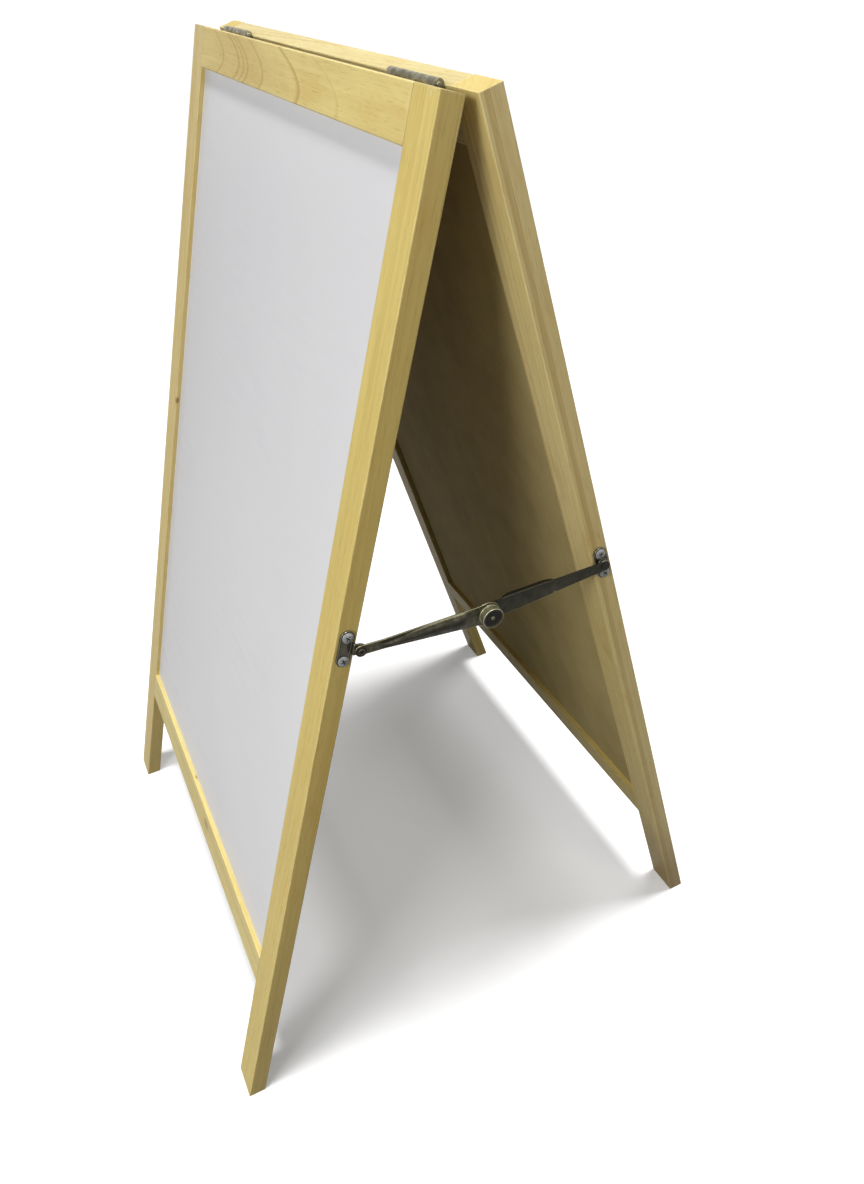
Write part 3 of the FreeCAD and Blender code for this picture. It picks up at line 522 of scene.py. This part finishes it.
sheet_finish = white_writing_face()
board_finish = brown_hardboard()
dowel_finish = dowel_wood()
hinge_finish = dull_metal("dull hinge steel", HINGE_TONES, 1.0, edge=0.0)
worn_hinge_finish = dull_metal("worn hinge edges", HINGE_TONES, 1.0, edge=0.25)
plate_finish = dull_metal("dull stay plate", PLATE_TONES, 4.0, edge=0.0)
worn_plate_finish = dull_metal("worn plate edges", PLATE_TONES, 4.0, edge=0.7)
stay_finish = dull_metal("dark stay bronze", STAY_TONES, 2.0, metallic=0.85)
cap_finish = dull_metal("rubbed cap brass", CAP_TONES, 5.0, metallic=0.8)
zinc_finish = dull_metal("bright zinc", ZINC_TONES, 3.0, metallic=0.4)
for wooden_bar in BARS:
    dress(wooden_bar.node, planed_wood(wooden_bar))
for label in NODES:
    if label.endswith("white_sheet"):
        dress(label, sheet_finish)
    elif label.endswith("backing_board"):
        dress(label, board_finish)
    elif label.endswith("dowels"):
        dress(label, dowel_finish)
    elif "_hinge_" in label:
        dress(label, hinge_finish)


# Surfaces worked out as grids of points

# Points closer than WELD are joined. An eased corner takes at most SHORT_SIDE of the length of a side, and
# the point that keeps the side flat lies BEYOND times as far along it.
WELD = 1e-7
SHORT_SIDE = 0.3
BEYOND = 1.5


def quads(rows, columns, closed):
    """Corner numbers of the faces of a grid; a closed grid joins its last column to its first."""
    row, column = np.mgrid[0:rows - 1, 0:columns if closed else columns - 1]
    after = (column + 1) % columns
    corners = (row * columns + column, row * columns + after,
               (row + 1) * columns + after, (row + 1) * columns + column)
    return np.stack(corners, axis=-1).reshape(-1, 4)


def shell(name, grids, closed, finish, body, node):
    """One piece over grids of points with their worn shares, which on some pieces also hold painted light
    and shade: doubles are merged, faces turned outwards.
    """
    sizes = [worn.size for _, worn in grids]
    starts = np.cumsum([0] + sizes[:-1])
    points = np.concatenate([grid.reshape(-1, 3) for grid, _ in grids])
    faces = [quads(*worn.shape, closed) + start for (_, worn), start in zip(grids, starts)]
    mesh = bpy.data.meshes.new(name)
    mesh.from_pydata(points.tolist(), [], np.concatenate(faces).tolist())
    edge = mesh.attributes.new("edge", "FLOAT", "POINT")
    edge.data.foreach_set("value", np.concatenate([worn.ravel() for _, worn in grids]))
    work = bmesh.new()
    work.from_mesh(mesh)
    bmesh.ops.remove_doubles(work, verts=work.verts, dist=WELD)
    bmesh.ops.recalc_face_normals(work, faces=work.faces)
    work.to_mesh(mesh)
    work.free()
    mesh.shade_smooth()
    mesh.materials.append(finish)
    piece = bpy.data.objects.new(name, mesh)
    bpy.context.scene.collection.objects.link(piece)
    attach(piece, body)
    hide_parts(node)


def placed(points, place):
    """Points in a place's own axes, moved to the sign's."""
    matrix = np.array(place)
    return points @ matrix[:3, :3].T + matrix[:3, 3]


def rise(value, low, high):
    """A smooth step from 0 to 1 between two values."""
    share = np.clip((value - low) / (high - low), 0, 1)
    return share * share * (3 - 2 * share)


def bell(value, middle, width):
    """1 at the middle, falling away smoothly on both sides."""
    return np.exp(-((value - middle) / width) ** 2)


def eased(corners, ease, steps=4):
    """Rounds the corners of closed chains: each becomes a parabola between points the ease away on its two
    sides, less where a side is short, with a point beyond either end to keep the sides flat. The second
    result is 1 in the middle of a proud corner, -1 in a hollow one and 0 on the sides, for chains walked
    with the inside on the left."""
    before = np.roll(corners, 1, axis=-2) - corners
    after = np.roll(corners, -1, axis=-2) - corners
    sides = [np.maximum(np.linalg.norm(way, axis=-1, keepdims=True), WELD) for way in (before, after)]
    reach = [np.minimum(np.asarray(ease)[..., None], SHORT_SIDE * side) / side for side in sides]
    start = corners + before * reach[0]
    end = corners + after * reach[1]
    share = np.linspace(0, 1, steps + 1)[:, None]
    curve = (start[..., None, :] * (1 - share) ** 2 + corners[..., None, :] * 2 * share * (1 - share)
             + end[..., None, :] * share ** 2)
    flats = [corners + way * BEYOND * part for way, part in ((before, reach[0]), (after, reach[1]))]
    chain = np.concatenate((flats[0][..., None, :], curve, flats[1][..., None, :]), axis=-2)
    turn = np.sign(before[..., 1] * after[..., 0] - before[..., 0] * after[..., 1])
    bulge = np.concatenate(([0.0], 4 * share[:, 0] * (1 - share[:, 0]), [0.0]))
    proud = turn[..., None] * bulge
    return chain.reshape(*chain.shape[:-3], -1, 2), proud.reshape(*proud.shape[:-2], -1)


def turned(corners, ease, place, wear, around=64):
    """A turned piece: an eased profile of radius and height, from the axis out and back to it, carried
    round Z. The wear, a number or a function of radius and height, is added to its worn share."""
    corners = np.array(corners, dtype=float)
    soft = np.full(len(corners), ease)
    soft[[0, -1]] = 0
    profile, proud = eased(corners, soft)
    angle = np.linspace(0, 2 * np.pi, around, endpoint=False)
    radius = profile[:, :1]
    points = np.stack((radius * np.cos(angle), radius * np.sin(angle), profile[:, 1:] + 0 * angle), axis=-1)
    worn = proud + (wear(profile[:, 0], profile[:, 1]) if callable(wear) else wear)
    return placed(points, place), np.repeat(worn[:, None], around, axis=1)


# The arms of the folding stays

HANDS = {"right": 1, "left": -1}
ARM_THICK = 1.6 * MM
ARM_FOOT = 5 * MM
ARM_GAP = 0.3 * MM
SHEET_EASE = 0.4 * MM
BEND_EASE = 0.6 * MM

# Points along and round an arm, and how sharply its bar and eye are blended
FOOT_STEPS = 12
BAR_STEPS = 90
EYE_STEPS = 44
RUN_STEPS = 21
FAN_STEPS = 9
EYE_BLEND = 8

# The front arm: half widths, and where its crown starts, is fully open and ends
FRONT_NECK = 11 * MM
FRONT_START = 0.18
FRONT_EYE = 11.6 * MM
CROWN_FROM = 14 * MM
CROWN_FULL = 70 * MM
CROWN_TO = 108 * MM
CROWN_RAMP = 14 * MM
CROWN_HEIGHT = 3.2 * MM
CROWN_MARGIN = 0.8 * MM
CROWN_POINT = 0.25

# The rear arm: its half width, and where its flanges start and end
REAR_NECK = 9.4 * MM
FLANGE_FROM = 56 * MM
FLANGE_TO = 110 * MM
FLANGE_WALL = 1.4 * MM
FLANGE_LAP = 0.4 * MM
FLANGE_LIP = 0.02 * MM
FLANGE_ROUND = 12 * MM
INSIDE_LEAST = 0.3
NOTCH_WIDTH = 2.5 * MM

# Levels out from the side of the stiles, which is itself measured from the middle of the sign
STILE_SIDE = JOINTS["right_front_arm_swing"]["pos_m"][0]
FRONT_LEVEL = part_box("right_stay_front_arm")[0].x - STILE_SIDE
FRONT_TOP = FRONT_LEVEL + ARM_THICK
FLANGE_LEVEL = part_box("right_stay_rear_arm")[0].x - STILE_SIDE
REAR_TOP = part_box("right_stay_rear_arm")[1].x - STILE_SIDE
REAR_LEVEL = REAR_TOP - ARM_THICK
EAR_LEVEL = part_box("right_stay_front_rivet")[0].x - STILE_SIDE


def stay_place(hand, name):
    """Axes of a stay arm: the origin on its pivot at the stile's side, X along it to the knuckle and Z
    outwards; also how far the knuckle is."""
    pivot = np.array(JOINTS["%s_%s_arm_swing" % (hand, name)]["pos_m"])
    low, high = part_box("%s_stay_knuckle_cap" % hand)
    along = (np.array(low + high) / 2 - pivot) * (0, 1, 1)
    length = np.linalg.norm(along)
    along = along / length
    out = np.array((HANDS[hand], 0, 0))
    place = np.eye(4)
    place[:3, :4] = np.stack((along, np.cross(out, along), out, pivot), axis=-1)
    return place, length


def arm_outline(length, neck, eye, start):
    """Stations along an arm with its half width and its taper there: a round foot, a straight taper from
    the start's share of the length to the knuckle, and a round eye, blended."""
    foot = -ARM_FOOT * np.cos(np.linspace(0, np.pi / 2, FOOT_STEPS))
    middle = np.linspace(0, length - eye, BAR_STEPS)[1:-1]
    ring = length - eye * np.cos(np.linspace(0, np.pi, EYE_STEPS))
    station = np.concatenate((foot, middle, ring))
    taper = ARM_FOOT + (neck - ARM_FOOT) * np.clip((station / length - start) / (1 - start), 0, 1)
    bar = np.where(station < 0, np.sqrt(np.clip(ARM_FOOT ** 2 - station ** 2, 0, None)), taper)
    bar = np.where(station > length, 0, bar)
    disc = np.sqrt(np.clip(eye ** 2 - (station - length) ** 2, 0, None))
    return station, (bar ** EYE_BLEND + disc ** EYE_BLEND) ** (1 / EYE_BLEND), taper


def strip_walk():
    """Once round a strip's section, across and out: where each point lies on a core rectangle, from -1 to
    1, and the way that its ease goes out from there, which fans round at the two edges."""
    run = np.linspace(-1, 1, RUN_STEPS)
    fan = np.linspace(np.pi / 2, -np.pi / 2, FAN_STEPS)
    flat = np.zeros(RUN_STEPS)
    edge = np.ones(FAN_STEPS)
    side = np.sign(np.sin(fan))
    core = np.concatenate((run, edge, -run, -edge)), np.concatenate((flat + 1, side, flat - 1, -side))
    out = (np.concatenate((flat, np.cos(fan), flat, -np.cos(fan))),
           np.concatenate((flat + 1, np.sin(fan), flat - 1, -np.sin(fan))))
    return core, out


def front_arm(hand):
    """Pressed strip: across each station walks an eased rectangle, lifted by a crown that is a parabola
    across the arm, opens from a point at the foot and steps smoothly up and down along it. Its edges,
    creases and flat ends are rubbed. The crown carries painted light: its upper strip is lightened as a
    painted highlight and a band along its middle is darkened as painted shade."""
    place, length = stay_place(hand, "front")
    station, half, taper = arm_outline(length, FRONT_NECK, FRONT_EYE, FRONT_START)
    core, out = strip_walk()
    soft = np.minimum(SHEET_EASE, half)[:, None]
    across = core[0] * (half[:, None] - soft) + soft * out[0]
    up = rise(station, CROWN_FROM, CROWN_FROM + CROWN_RAMP)
    down = rise(-station, -CROWN_TO, CROWN_RAMP - CROWN_TO)
    lift = (up * down)[:, None]
    opening = CROWN_POINT + (1 - CROWN_POINT) * rise(station, CROWN_FROM, CROWN_FULL)
    bow = across / ((taper - CROWN_MARGIN) * opening)[:, None]
    crown = np.clip(1 - bow ** 2, 0, None) * lift * CROWN_HEIGHT
    level = FRONT_LEVEL + ARM_THICK / 2 + core[1] * (ARM_THICK / 2 - soft) + soft * out[1] + crown
    points = np.stack((station[:, None] + 0 * across, across, level), axis=-1)
    upward = across / half.clip(WELD)[:, None] * np.sign(place[2, 1])
    # Painted light on the crown: the upper strip is a painted highlight, the band along the middle painted
    # shade
    crease_and_highlight = 0.5 * bell(np.abs(bow), 1, 0.15) + 0.15 * rise(upward, 0.45, 0.8)
    grime_and_shade = 0.9 * bell(upward, 0.1, 0.3)
    face = (crease_and_highlight - grime_and_shade) * lift + 0.4 * (1 - lift)
    worn = 0.7 * np.abs(out[0]) + face * (core[1] > 0)
    label = hand + "_stay_front_arm"
    grid = (placed(points, place), worn)
    shell("pressed_" + label, [grid], True, stay_finish, hand + "_front_arm", label)


def rear_arm(hand):
    """Channel: at each station an eased U turned to the frame, whose two flanges drop in a quarter round,
    stand a little outside the tongue and end alike. Its corners and flanges are rubbed, and the notch where
    a flange starts; its upper half is darkened as painted shade."""
    place, length = stay_place(hand, "rear")
    station, half, _ = arm_outline(length, REAR_NECK, REAR_NECK, 0.0)
    ends = np.clip(np.minimum(station - FLANGE_FROM, FLANGE_TO - station) / FLANGE_ROUND, 0, 1)
    quarter = np.sqrt(1 - (1 - ends) ** 2)
    outside = half + (FLANGE_WALL - FLANGE_LAP) * quarter
    inside = np.maximum(half - FLANGE_LAP, INSIDE_LEAST * half)
    top = np.full_like(half, REAR_TOP)
    web = np.full_like(half, REAR_LEVEL)
    free = web - (REAR_LEVEL - FLANGE_LEVEL) * quarter - FLANGE_LIP
    corners = np.stack((
        np.stack((-outside, -inside, -inside, inside, inside, outside, outside, -outside), axis=-1),
        np.stack((free, free, web, web, free, free, top, top), axis=-1),
    ), axis=-1)
    # The last two corners are the bends of the flanges
    ease = np.full(corners.shape[:2], SHEET_EASE)
    ease[:, -2:] = SHEET_EASE + BEND_EASE * quarter[:, None]
    section, proud = eased(corners, ease)
    along = np.repeat(station[:, None], section.shape[1], axis=1)
    points = np.concatenate((along[..., None], section), axis=-1)
    upward = section[..., 0] / half.clip(WELD)[:, None] * np.sign(place[2, 1])
    notch = bell(along, FLANGE_FROM, NOTCH_WIDTH) * rise(-upward, 0.2, 0.6)
    rubbed = 0.4 * proud + 0.5 * (np.abs(upward) > 1.02) + 0.9 * notch
    # Painted shade: the upper half is darkened; the whole arm is also darkened a little
    worn = rubbed - 0.8 * rise(upward, -0.3, 0.5) - 0.25
    label = hand + "_stay_rear_arm"
    grid = (placed(points, place), worn)
    shell("flanged_" + label, [grid], True, stay_finish, hand + "_rear_arm", label)


# The turned pieces of the stays: radii and heights, with tops and seats as levels out from the stiles

KNUCKLE = 3 * MM
KNUCKLE_EASE = 0.45 * MM
KNUCKLE_AROUND = 96
CAP_RADIUS = 10.2 * MM
CAP_WAIST = 9.4 * MM
CAP_TOP = FRONT_TOP + 8.4 * MM
CAP_BASE = 1.6 * MM
CAP_RIM = 2.2 * MM
CAP_RIM_WIDTH = 1.5 * MM
CAP_DISH = 1.3 * MM
CAP_BUMP = 2 * MM
CAP_BUMP_HEIGHT = 0.9 * MM
CAP_CLEAN_RIM = 0.5 * MM
TAIL = 5 * MM
TAIL_HEIGHT = 1.4 * MM
RIVET = 2.2 * MM
RIVET_EASE = 0.3 * MM
RIVET_SEAT = FRONT_TOP + ARM_GAP
RIVET_HEAD = 5.3 * MM
RIVET_HEAD_TOP = RIVET_SEAT + 1.2 * MM
RIVET_RING = 3.3 * MM
RIVET_RING_HEIGHT = 0.9 * MM
RIVET_DIMPLE = 1.6 * MM
FLAT_SEAT = REAR_TOP + ARM_GAP
FLAT_HEAD = 4.2 * MM
FLAT_HEAD_TOP = FLAT_SEAT + 0.7 * MM


def knuckle_place(hand, name):
    """Axes of an arm moved along it to the knuckle."""
    place, length = stay_place(hand, name)
    return place @ np.array(Matrix.Translation((length, 0, 0)))


def cap_wear(radius, level):
    """Darkens the cap's dish, less on the bump in its middle."""
    dished = (radius < CAP_RADIUS - CAP_CLEAN_RIM) & (level > CAP_TOP - 2 * CAP_DISH)
    return np.where(dished, np.where(radius < CAP_BUMP, -1.1, -2.2), 0)


def knuckle_cap(hand):
    """The turned boss on the front arm's eye: base, waist and rim round a dish with a bump in it."""
    base = FRONT_TOP + CAP_BASE
    rim = CAP_TOP - CAP_RIM
    rim_inside = CAP_RADIUS - CAP_RIM_WIDTH
    dish = CAP_TOP - CAP_DISH
    bump_top = dish + CAP_BUMP_HEIGHT
    corners = [
        (0, FRONT_LEVEL), (KNUCKLE, FRONT_LEVEL), (KNUCKLE, FRONT_TOP), (CAP_RADIUS, FRONT_TOP),
        (CAP_RADIUS, base), (CAP_WAIST, base), (CAP_WAIST, rim), (CAP_RADIUS, rim),
        (CAP_RADIUS, CAP_TOP), (rim_inside, CAP_TOP), (rim_inside - CAP_DISH, dish),
        (CAP_BUMP, dish), (CAP_BUMP - CAP_BUMP_HEIGHT / 2, bump_top), (0, bump_top),
    ]
    label = hand + "_stay_knuckle_cap"
    grid = turned(corners, KNUCKLE_EASE, knuckle_place(hand, "front"), cap_wear, KNUCKLE_AROUND)
    shell("turned_" + label, [grid], True, cap_finish, hand + "_front_arm", label)


def knuckle_tail(hand):
    """The turned tail in the rear arm's eye: a pin with a flat head behind it."""
    head = REAR_LEVEL - TAIL_HEIGHT
    corners = [(0, head), (TAIL, head), (TAIL, REAR_LEVEL), (KNUCKLE, REAR_LEVEL), (KNUCKLE, REAR_TOP),
               (0, REAR_TOP)]
    label = hand + "_stay_knuckle_tail"
    grid = turned(corners, KNUCKLE_EASE, knuckle_place(hand, "rear"), 0.0, KNUCKLE_AROUND)
    shell("turned_" + label, [grid], True, cap_finish, hand + "_rear_arm", label)


def ring_wear(radius, level):
    """Darkens the front rivet, less on its raised ring."""
    return np.where((radius > RIVET_DIMPLE) & (level > RIVET_HEAD_TOP), -0.4, -1.0)


def front_rivet(hand):
    """The turned rivet of the front pivot: a pin through the ear and a head with a raised, dimpled ring."""
    ring = RIVET_HEAD_TOP + RIVET_RING_HEIGHT
    corners = [
        (0, EAR_LEVEL), (RIVET, EAR_LEVEL), (RIVET, RIVET_SEAT), (RIVET_HEAD, RIVET_SEAT),
        (RIVET_HEAD, RIVET_HEAD_TOP), (RIVET_RING, RIVET_HEAD_TOP),
        (RIVET_RING - RIVET_RING_HEIGHT / 2, ring), (RIVET_DIMPLE, ring),
        (RIVET_DIMPLE, RIVET_HEAD_TOP), (0, RIVET_HEAD_TOP),
    ]
    label = hand + "_stay_front_rivet"
    grid = turned(corners, RIVET_EASE, stay_place(hand, "front")[0], ring_wear)
    shell("turned_" + label, [grid], True, stay_finish, "front_frame", label)


def rear_rivet(hand):
    """The turned rivet of the rear pivot: a pin with a thin flat head, darkened all over."""
    corners = [(0, 0), (RIVET, 0), (RIVET, FLAT_SEAT), (FLAT_HEAD, FLAT_SEAT), (FLAT_HEAD, FLAT_HEAD_TOP),
               (0, FLAT_HEAD_TOP)]
    label = hand + "_stay_rear_rivet"
    grid = turned(corners, RIVET_EASE, stay_place(hand, "rear")[0], -1.0)
    shell("turned_" + label, [grid], True, stay_finish, "rear_frame", label)


# The bracket screws: sizes, the turns they stop at, and the cross's plan in shares of the head's radius

SCREW_HEAD = 5.2 * MM
SCREW_SIDE = 1.1 * MM
SCREW_EASE = 0.15 * MM
SCREW_DOME = 1.4 * MM
SCREW_SHANK = 2 * MM
SCREW_LENGTH = 20 * MM
SCREW_TIP = 3 * MM
SCREW_TURNS = (0.5, 1.1)
CROSS_WIDTH = 0.13
CROSS_LENGTH = 0.52
CROSS_WALL = 0.035
CROSS_DEPTH = 1.4 * MM
CROSS_SLOPE = 0.4
PLATE_THICK = 2 * MM

# Grid lines from the middle of a screw's head out, close together at the walls of the cross
HEAD_LINES = (
    0, 0.05, CROSS_WIDTH - CROSS_WALL, CROSS_WIDTH, CROSS_WIDTH + CROSS_WALL, 0.22, 0.3, 0.4,
    CROSS_LENGTH - CROSS_WALL, CROSS_LENGTH, CROSS_LENGTH + CROSS_WALL, 0.64, 0.74, 0.83, 0.9, 0.95,
)

# Rows of a screw's side, from the edge of its dome to its tip: ring number, radius and height
RIM_RING = 1.05
SCREW_ROWS = np.array((
    (1.0, SCREW_HEAD - SCREW_EASE, SCREW_SIDE),
    (RIM_RING, SCREW_HEAD, SCREW_SIDE - SCREW_EASE),
    (1.1, SCREW_HEAD, SCREW_EASE),
    (1.2, SCREW_HEAD - SCREW_EASE, 0),
    (1.3, SCREW_SHANK, 0),
    (1.4, SCREW_SHANK, -SCREW_LENGTH / 2),
    (1.5, SCREW_SHANK, SCREW_TIP - SCREW_LENGTH),
    (1.6, 0, -SCREW_LENGTH),
))


def sunk(value, size):
    """1 within a size on both sides of 0 and 0 beyond it, with a wall between."""
    return 1 - rise(np.abs(value), size - CROSS_WALL, size + CROSS_WALL)


def cross_screw(place, turn):
    """A cross-head screw on one square grid: inside 1 the square is drawn out to a disc, domed, with the
    cross sunk in it; outside, its rings go down the head's side, in under it and along the shank to the
    tip."""
    rings, radii, heights = SCREW_ROWS.T
    half = np.concatenate((HEAD_LINES, rings))
    line = np.concatenate((-half[:0:-1], half))
    across, up = np.meshgrid(line, line, indexing="ij")
    outward = np.maximum(np.abs(across), np.abs(up))
    ring = np.maximum(outward, 1)
    square_x = across / ring
    square_y = up / ring
    x = square_x * np.sqrt(1 - square_y ** 2 / 2)
    y = square_y * np.sqrt(1 - square_x ** 2 / 2)
    cross = np.maximum(sunk(across, CROSS_WIDTH) * sunk(up, CROSS_LENGTH),
                       sunk(up, CROSS_WIDTH) * sunk(across, CROSS_LENGTH))
    depth = CROSS_DEPTH * (1 - CROSS_SLOPE * outward)
    dome = SCREW_SIDE + SCREW_DOME * (1 - x ** 2 - y ** 2) - cross * depth
    radius = np.interp(ring, rings, radii)
    height = np.where(ring > 1, np.interp(ring, rings, heights), dome) + PLATE_THICK
    cosine = math.cos(turn)
    sine = math.sin(turn)
    points = np.stack(((x * cosine - y * sine) * radius, (x * sine + y * cosine) * radius, height), axis=-1)
    # Painted shade: the head's side and all below it dark as a contact shadow, the cross dark in its recess
    worn = 0.4 * (ring == RIM_RING) - 1.2 * (ring > RIM_RING) - 1.6 * cross
    return placed(points, place), worn


def bracket_screws(hand, name):
    """The two screws of a stay bracket, each stopped at its own turn."""
    label = "%s_stay_%s_bracket_screws" % (hand, name)
    low, high = frame_box(label, name)
    out = HANDS[hand] if name == "front" else -HANDS[hand]
    turn = np.array(TURN[name])
    place = np.eye(4)
    place[:3, :3] = turn @ np.array(((0, 0, out), (0, 1, 0), (-out, 0, 0)))
    grids = []
    for height, stop in zip((low[2] + SCREW_HEAD, high[2] - SCREW_HEAD), SCREW_TURNS):
        place[:3, 3] = HINGE_AXIS + turn @ np.array((out * STILE_SIDE, (low[1] + high[1]) / 2, height))
        grids.append(cross_screw(place, stop))
    shell("cross_" + label, grids, False, zinc_finish, name + "_frame", label)


for stay_hand in HANDS:
    front_arm(stay_hand)
    rear_arm(stay_hand)
    knuckle_cap(stay_hand)
    knuckle_tail(stay_hand)
    front_rivet(stay_hand)
    rear_rivet(stay_hand)
    for stay_frame in TURN:
        bracket_screws(stay_hand, stay_frame)


# Brackets and hinge leaves, with their edges eased

BRACKET_EASE = 0.3 * MM
LEAF_EASE = 0.2 * MM
SHARP_ANGLE = math.radians(35)
LOOSE_GAP = 1e-6


def soften(node, width, finish, edge_finish):
    """Joins a node's triangles and eases its sharp edges, which get a finish of their own."""
    dress(node, finish, edge_finish)
    joined = NODES[node].modifiers.new("joined", "WELD")
    joined.merge_threshold = LOOSE_GAP
    soft = NODES[node].modifiers.new("eased", "BEVEL")
    soft.width = width
    soft.segments = 2
    soft.limit_method = "ANGLE"
    soft.angle_limit = SHARP_ANGLE
    soft.use_clamp_overlap = False
    soft.harden_normals = True
    soft.material = 1


for label in NODES:
    if label.endswith("_bracket"):
        soften(label, BRACKET_EASE, plate_finish, worn_plate_finish)
    elif label.endswith("_leaf"):
        soften(label, LEAF_EASE, hinge_finish, worn_hinge_finish)


# Stage, light and camera

FLOOR_REACH = 60.0
FLOOR_LIFT = 0.25
FLOOR_SEEN = 0.81
FLOOR_BOUNCE = 0.06
FLOOR_MIRRORED = 0.55
SKY_LEVEL = 0.02
OVERHEAD_PLACE = (0, 0, 10)
OVERHEAD_LIGHT = 0.94 * math.pi
OVERHEAD_ANGLE = math.radians(10)

# The soft boxes: place, the point each is aimed at, watts and width
SOFT_BOXES = {
    "front soft box": ((0.4, -3.8, 1.8), (0, -0.1, 0.7), 26, 2.0),
    "right front soft box": ((1.0, -1.4, 1.5), (0.1, -0.15, 0.8), 16.5, 0.6),
    "right soft box": ((1.8, -1.4, 0.9), (0.2, 0.2, 0.5), 2.8, 0.8),
    "right back soft box": ((2.2, 1.0, 1.1), (0.2, 0.1, 0.8), 9, 1.0),
    "back soft box": ((-1.0, 2.0, 2.6), (0, 0.1, 0.8), 28, 1.6),
}


def seen_directly(maker, mirrored):
    """1 for rays that show the stage to the camera, the mirrored share in reflections, 0 for other light."""
    path = maker.node("LightPath").outputs
    reflected = maker.math("MULTIPLY", path["Is Glossy Ray"], mirrored)
    seen = maker.math("MAXIMUM", path["Is Camera Ray"], reflected)
    return maker.math("MAXIMUM", seen, path["Is Transmission Ray"])


def floor_finish():
    """White floor that shows its shadow and throws little light back up."""
    material, maker, shader = new_finish("white floor", {"Roughness": 0.9, "Specular IOR Level": 0.0})
    seen = seen_directly(maker, FLOOR_MIRRORED)
    maker.feed(shader.inputs["Base Color"], maker.mix(seen, (FLOOR_BOUNCE,) * 3, (FLOOR_SEEN,) * 3))
    maker.feed(shader.inputs["Emission Color"], (1, 1, 1))
    maker.feed(shader.inputs["Emission Strength"], maker.math("MULTIPLY", seen, FLOOR_LIFT))
    return material


def studio_world():
    """Faint even light from all round, white where the camera or a reflection sees it."""
    world = bpy.data.worlds.new("studio")
    world.use_nodes = True
    maker = Maker(world.node_tree)
    sky = world.node_tree.nodes["Background"].inputs
    maker.feed(sky["Color"], (1, 1, 1))
    levels = {0: seen_directly(maker, 1.0), 2: SKY_LEVEL, 3: 1.0}
    maker.feed(sky["Strength"], maker.node("Mix", levels, data_type="FLOAT").outputs[0])
    bpy.context.scene.world = world


def lamp(name, kind, place, aim, energy, **settings):
    """A lamp at a place, aimed at a point."""
    data = bpy.data.lights.new(name, kind)
    data.energy = energy
    for setting, value in settings.items():
        setattr(data, setting, value)
    made = bpy.data.objects.new(name, data)
    made.location = place
    made.rotation_euler = (Vector(aim) - Vector(place)).to_track_quat("-Z", "Y").to_euler()
    bpy.context.scene.collection.objects.link(made)


floor_mesh = bpy.data.meshes.new("floor")
floor_corners = np.array(((-1, -1, 0), (1, -1, 0), (1, 1, 0), (-1, 1, 0))) * FLOOR_REACH
floor_mesh.from_pydata(floor_corners.tolist(), [], [(0, 1, 2, 3)])
floor_mesh.materials.append(floor_finish())
floor = bpy.data.objects.new("floor", floor_mesh)
bpy.context.scene.collection.objects.link(floor)

studio_world()
lamp("overhead light", "SUN", OVERHEAD_PLACE, (0, 0, 0), OVERHEAD_LIGHT, angle=OVERHEAD_ANGLE)
for box, (box_place, box_aim, watts, width) in SOFT_BOXES.items():
    lamp(box, "AREA", box_place, box_aim, watts, shape="SQUARE", size=width)

# The camera, found from the corners of the frames in the photograph
CAMERA_PLACE = (0.8755, -0.3033, 1.1151)
CAMERA_YAW = math.radians(65.727)
CAMERA_PITCH = math.radians(36.703)
CAMERA_ROLL = math.radians(-3.0)
CAMERA_LENS = 27.647
CAMERA_SENSOR = 36
camera_data = bpy.data.cameras.new("camera")
camera_data.lens = CAMERA_LENS
camera_data.sensor_width = CAMERA_SENSOR
camera = bpy.data.objects.new("camera", camera_data)
facing = Matrix.Rotation(CAMERA_YAW, 4, "Z") @ Matrix.Rotation(math.pi / 2 - CAMERA_PITCH, 4, "X")
camera.matrix_world = facing @ Matrix.Rotation(CAMERA_ROLL, 4, "Z")
camera.location = CAMERA_PLACE
bpy.context.scene.collection.objects.link(camera)
bpy.context.scene.camera = camera
bpy.context.scene.view_settings.view_transform = "Standard"
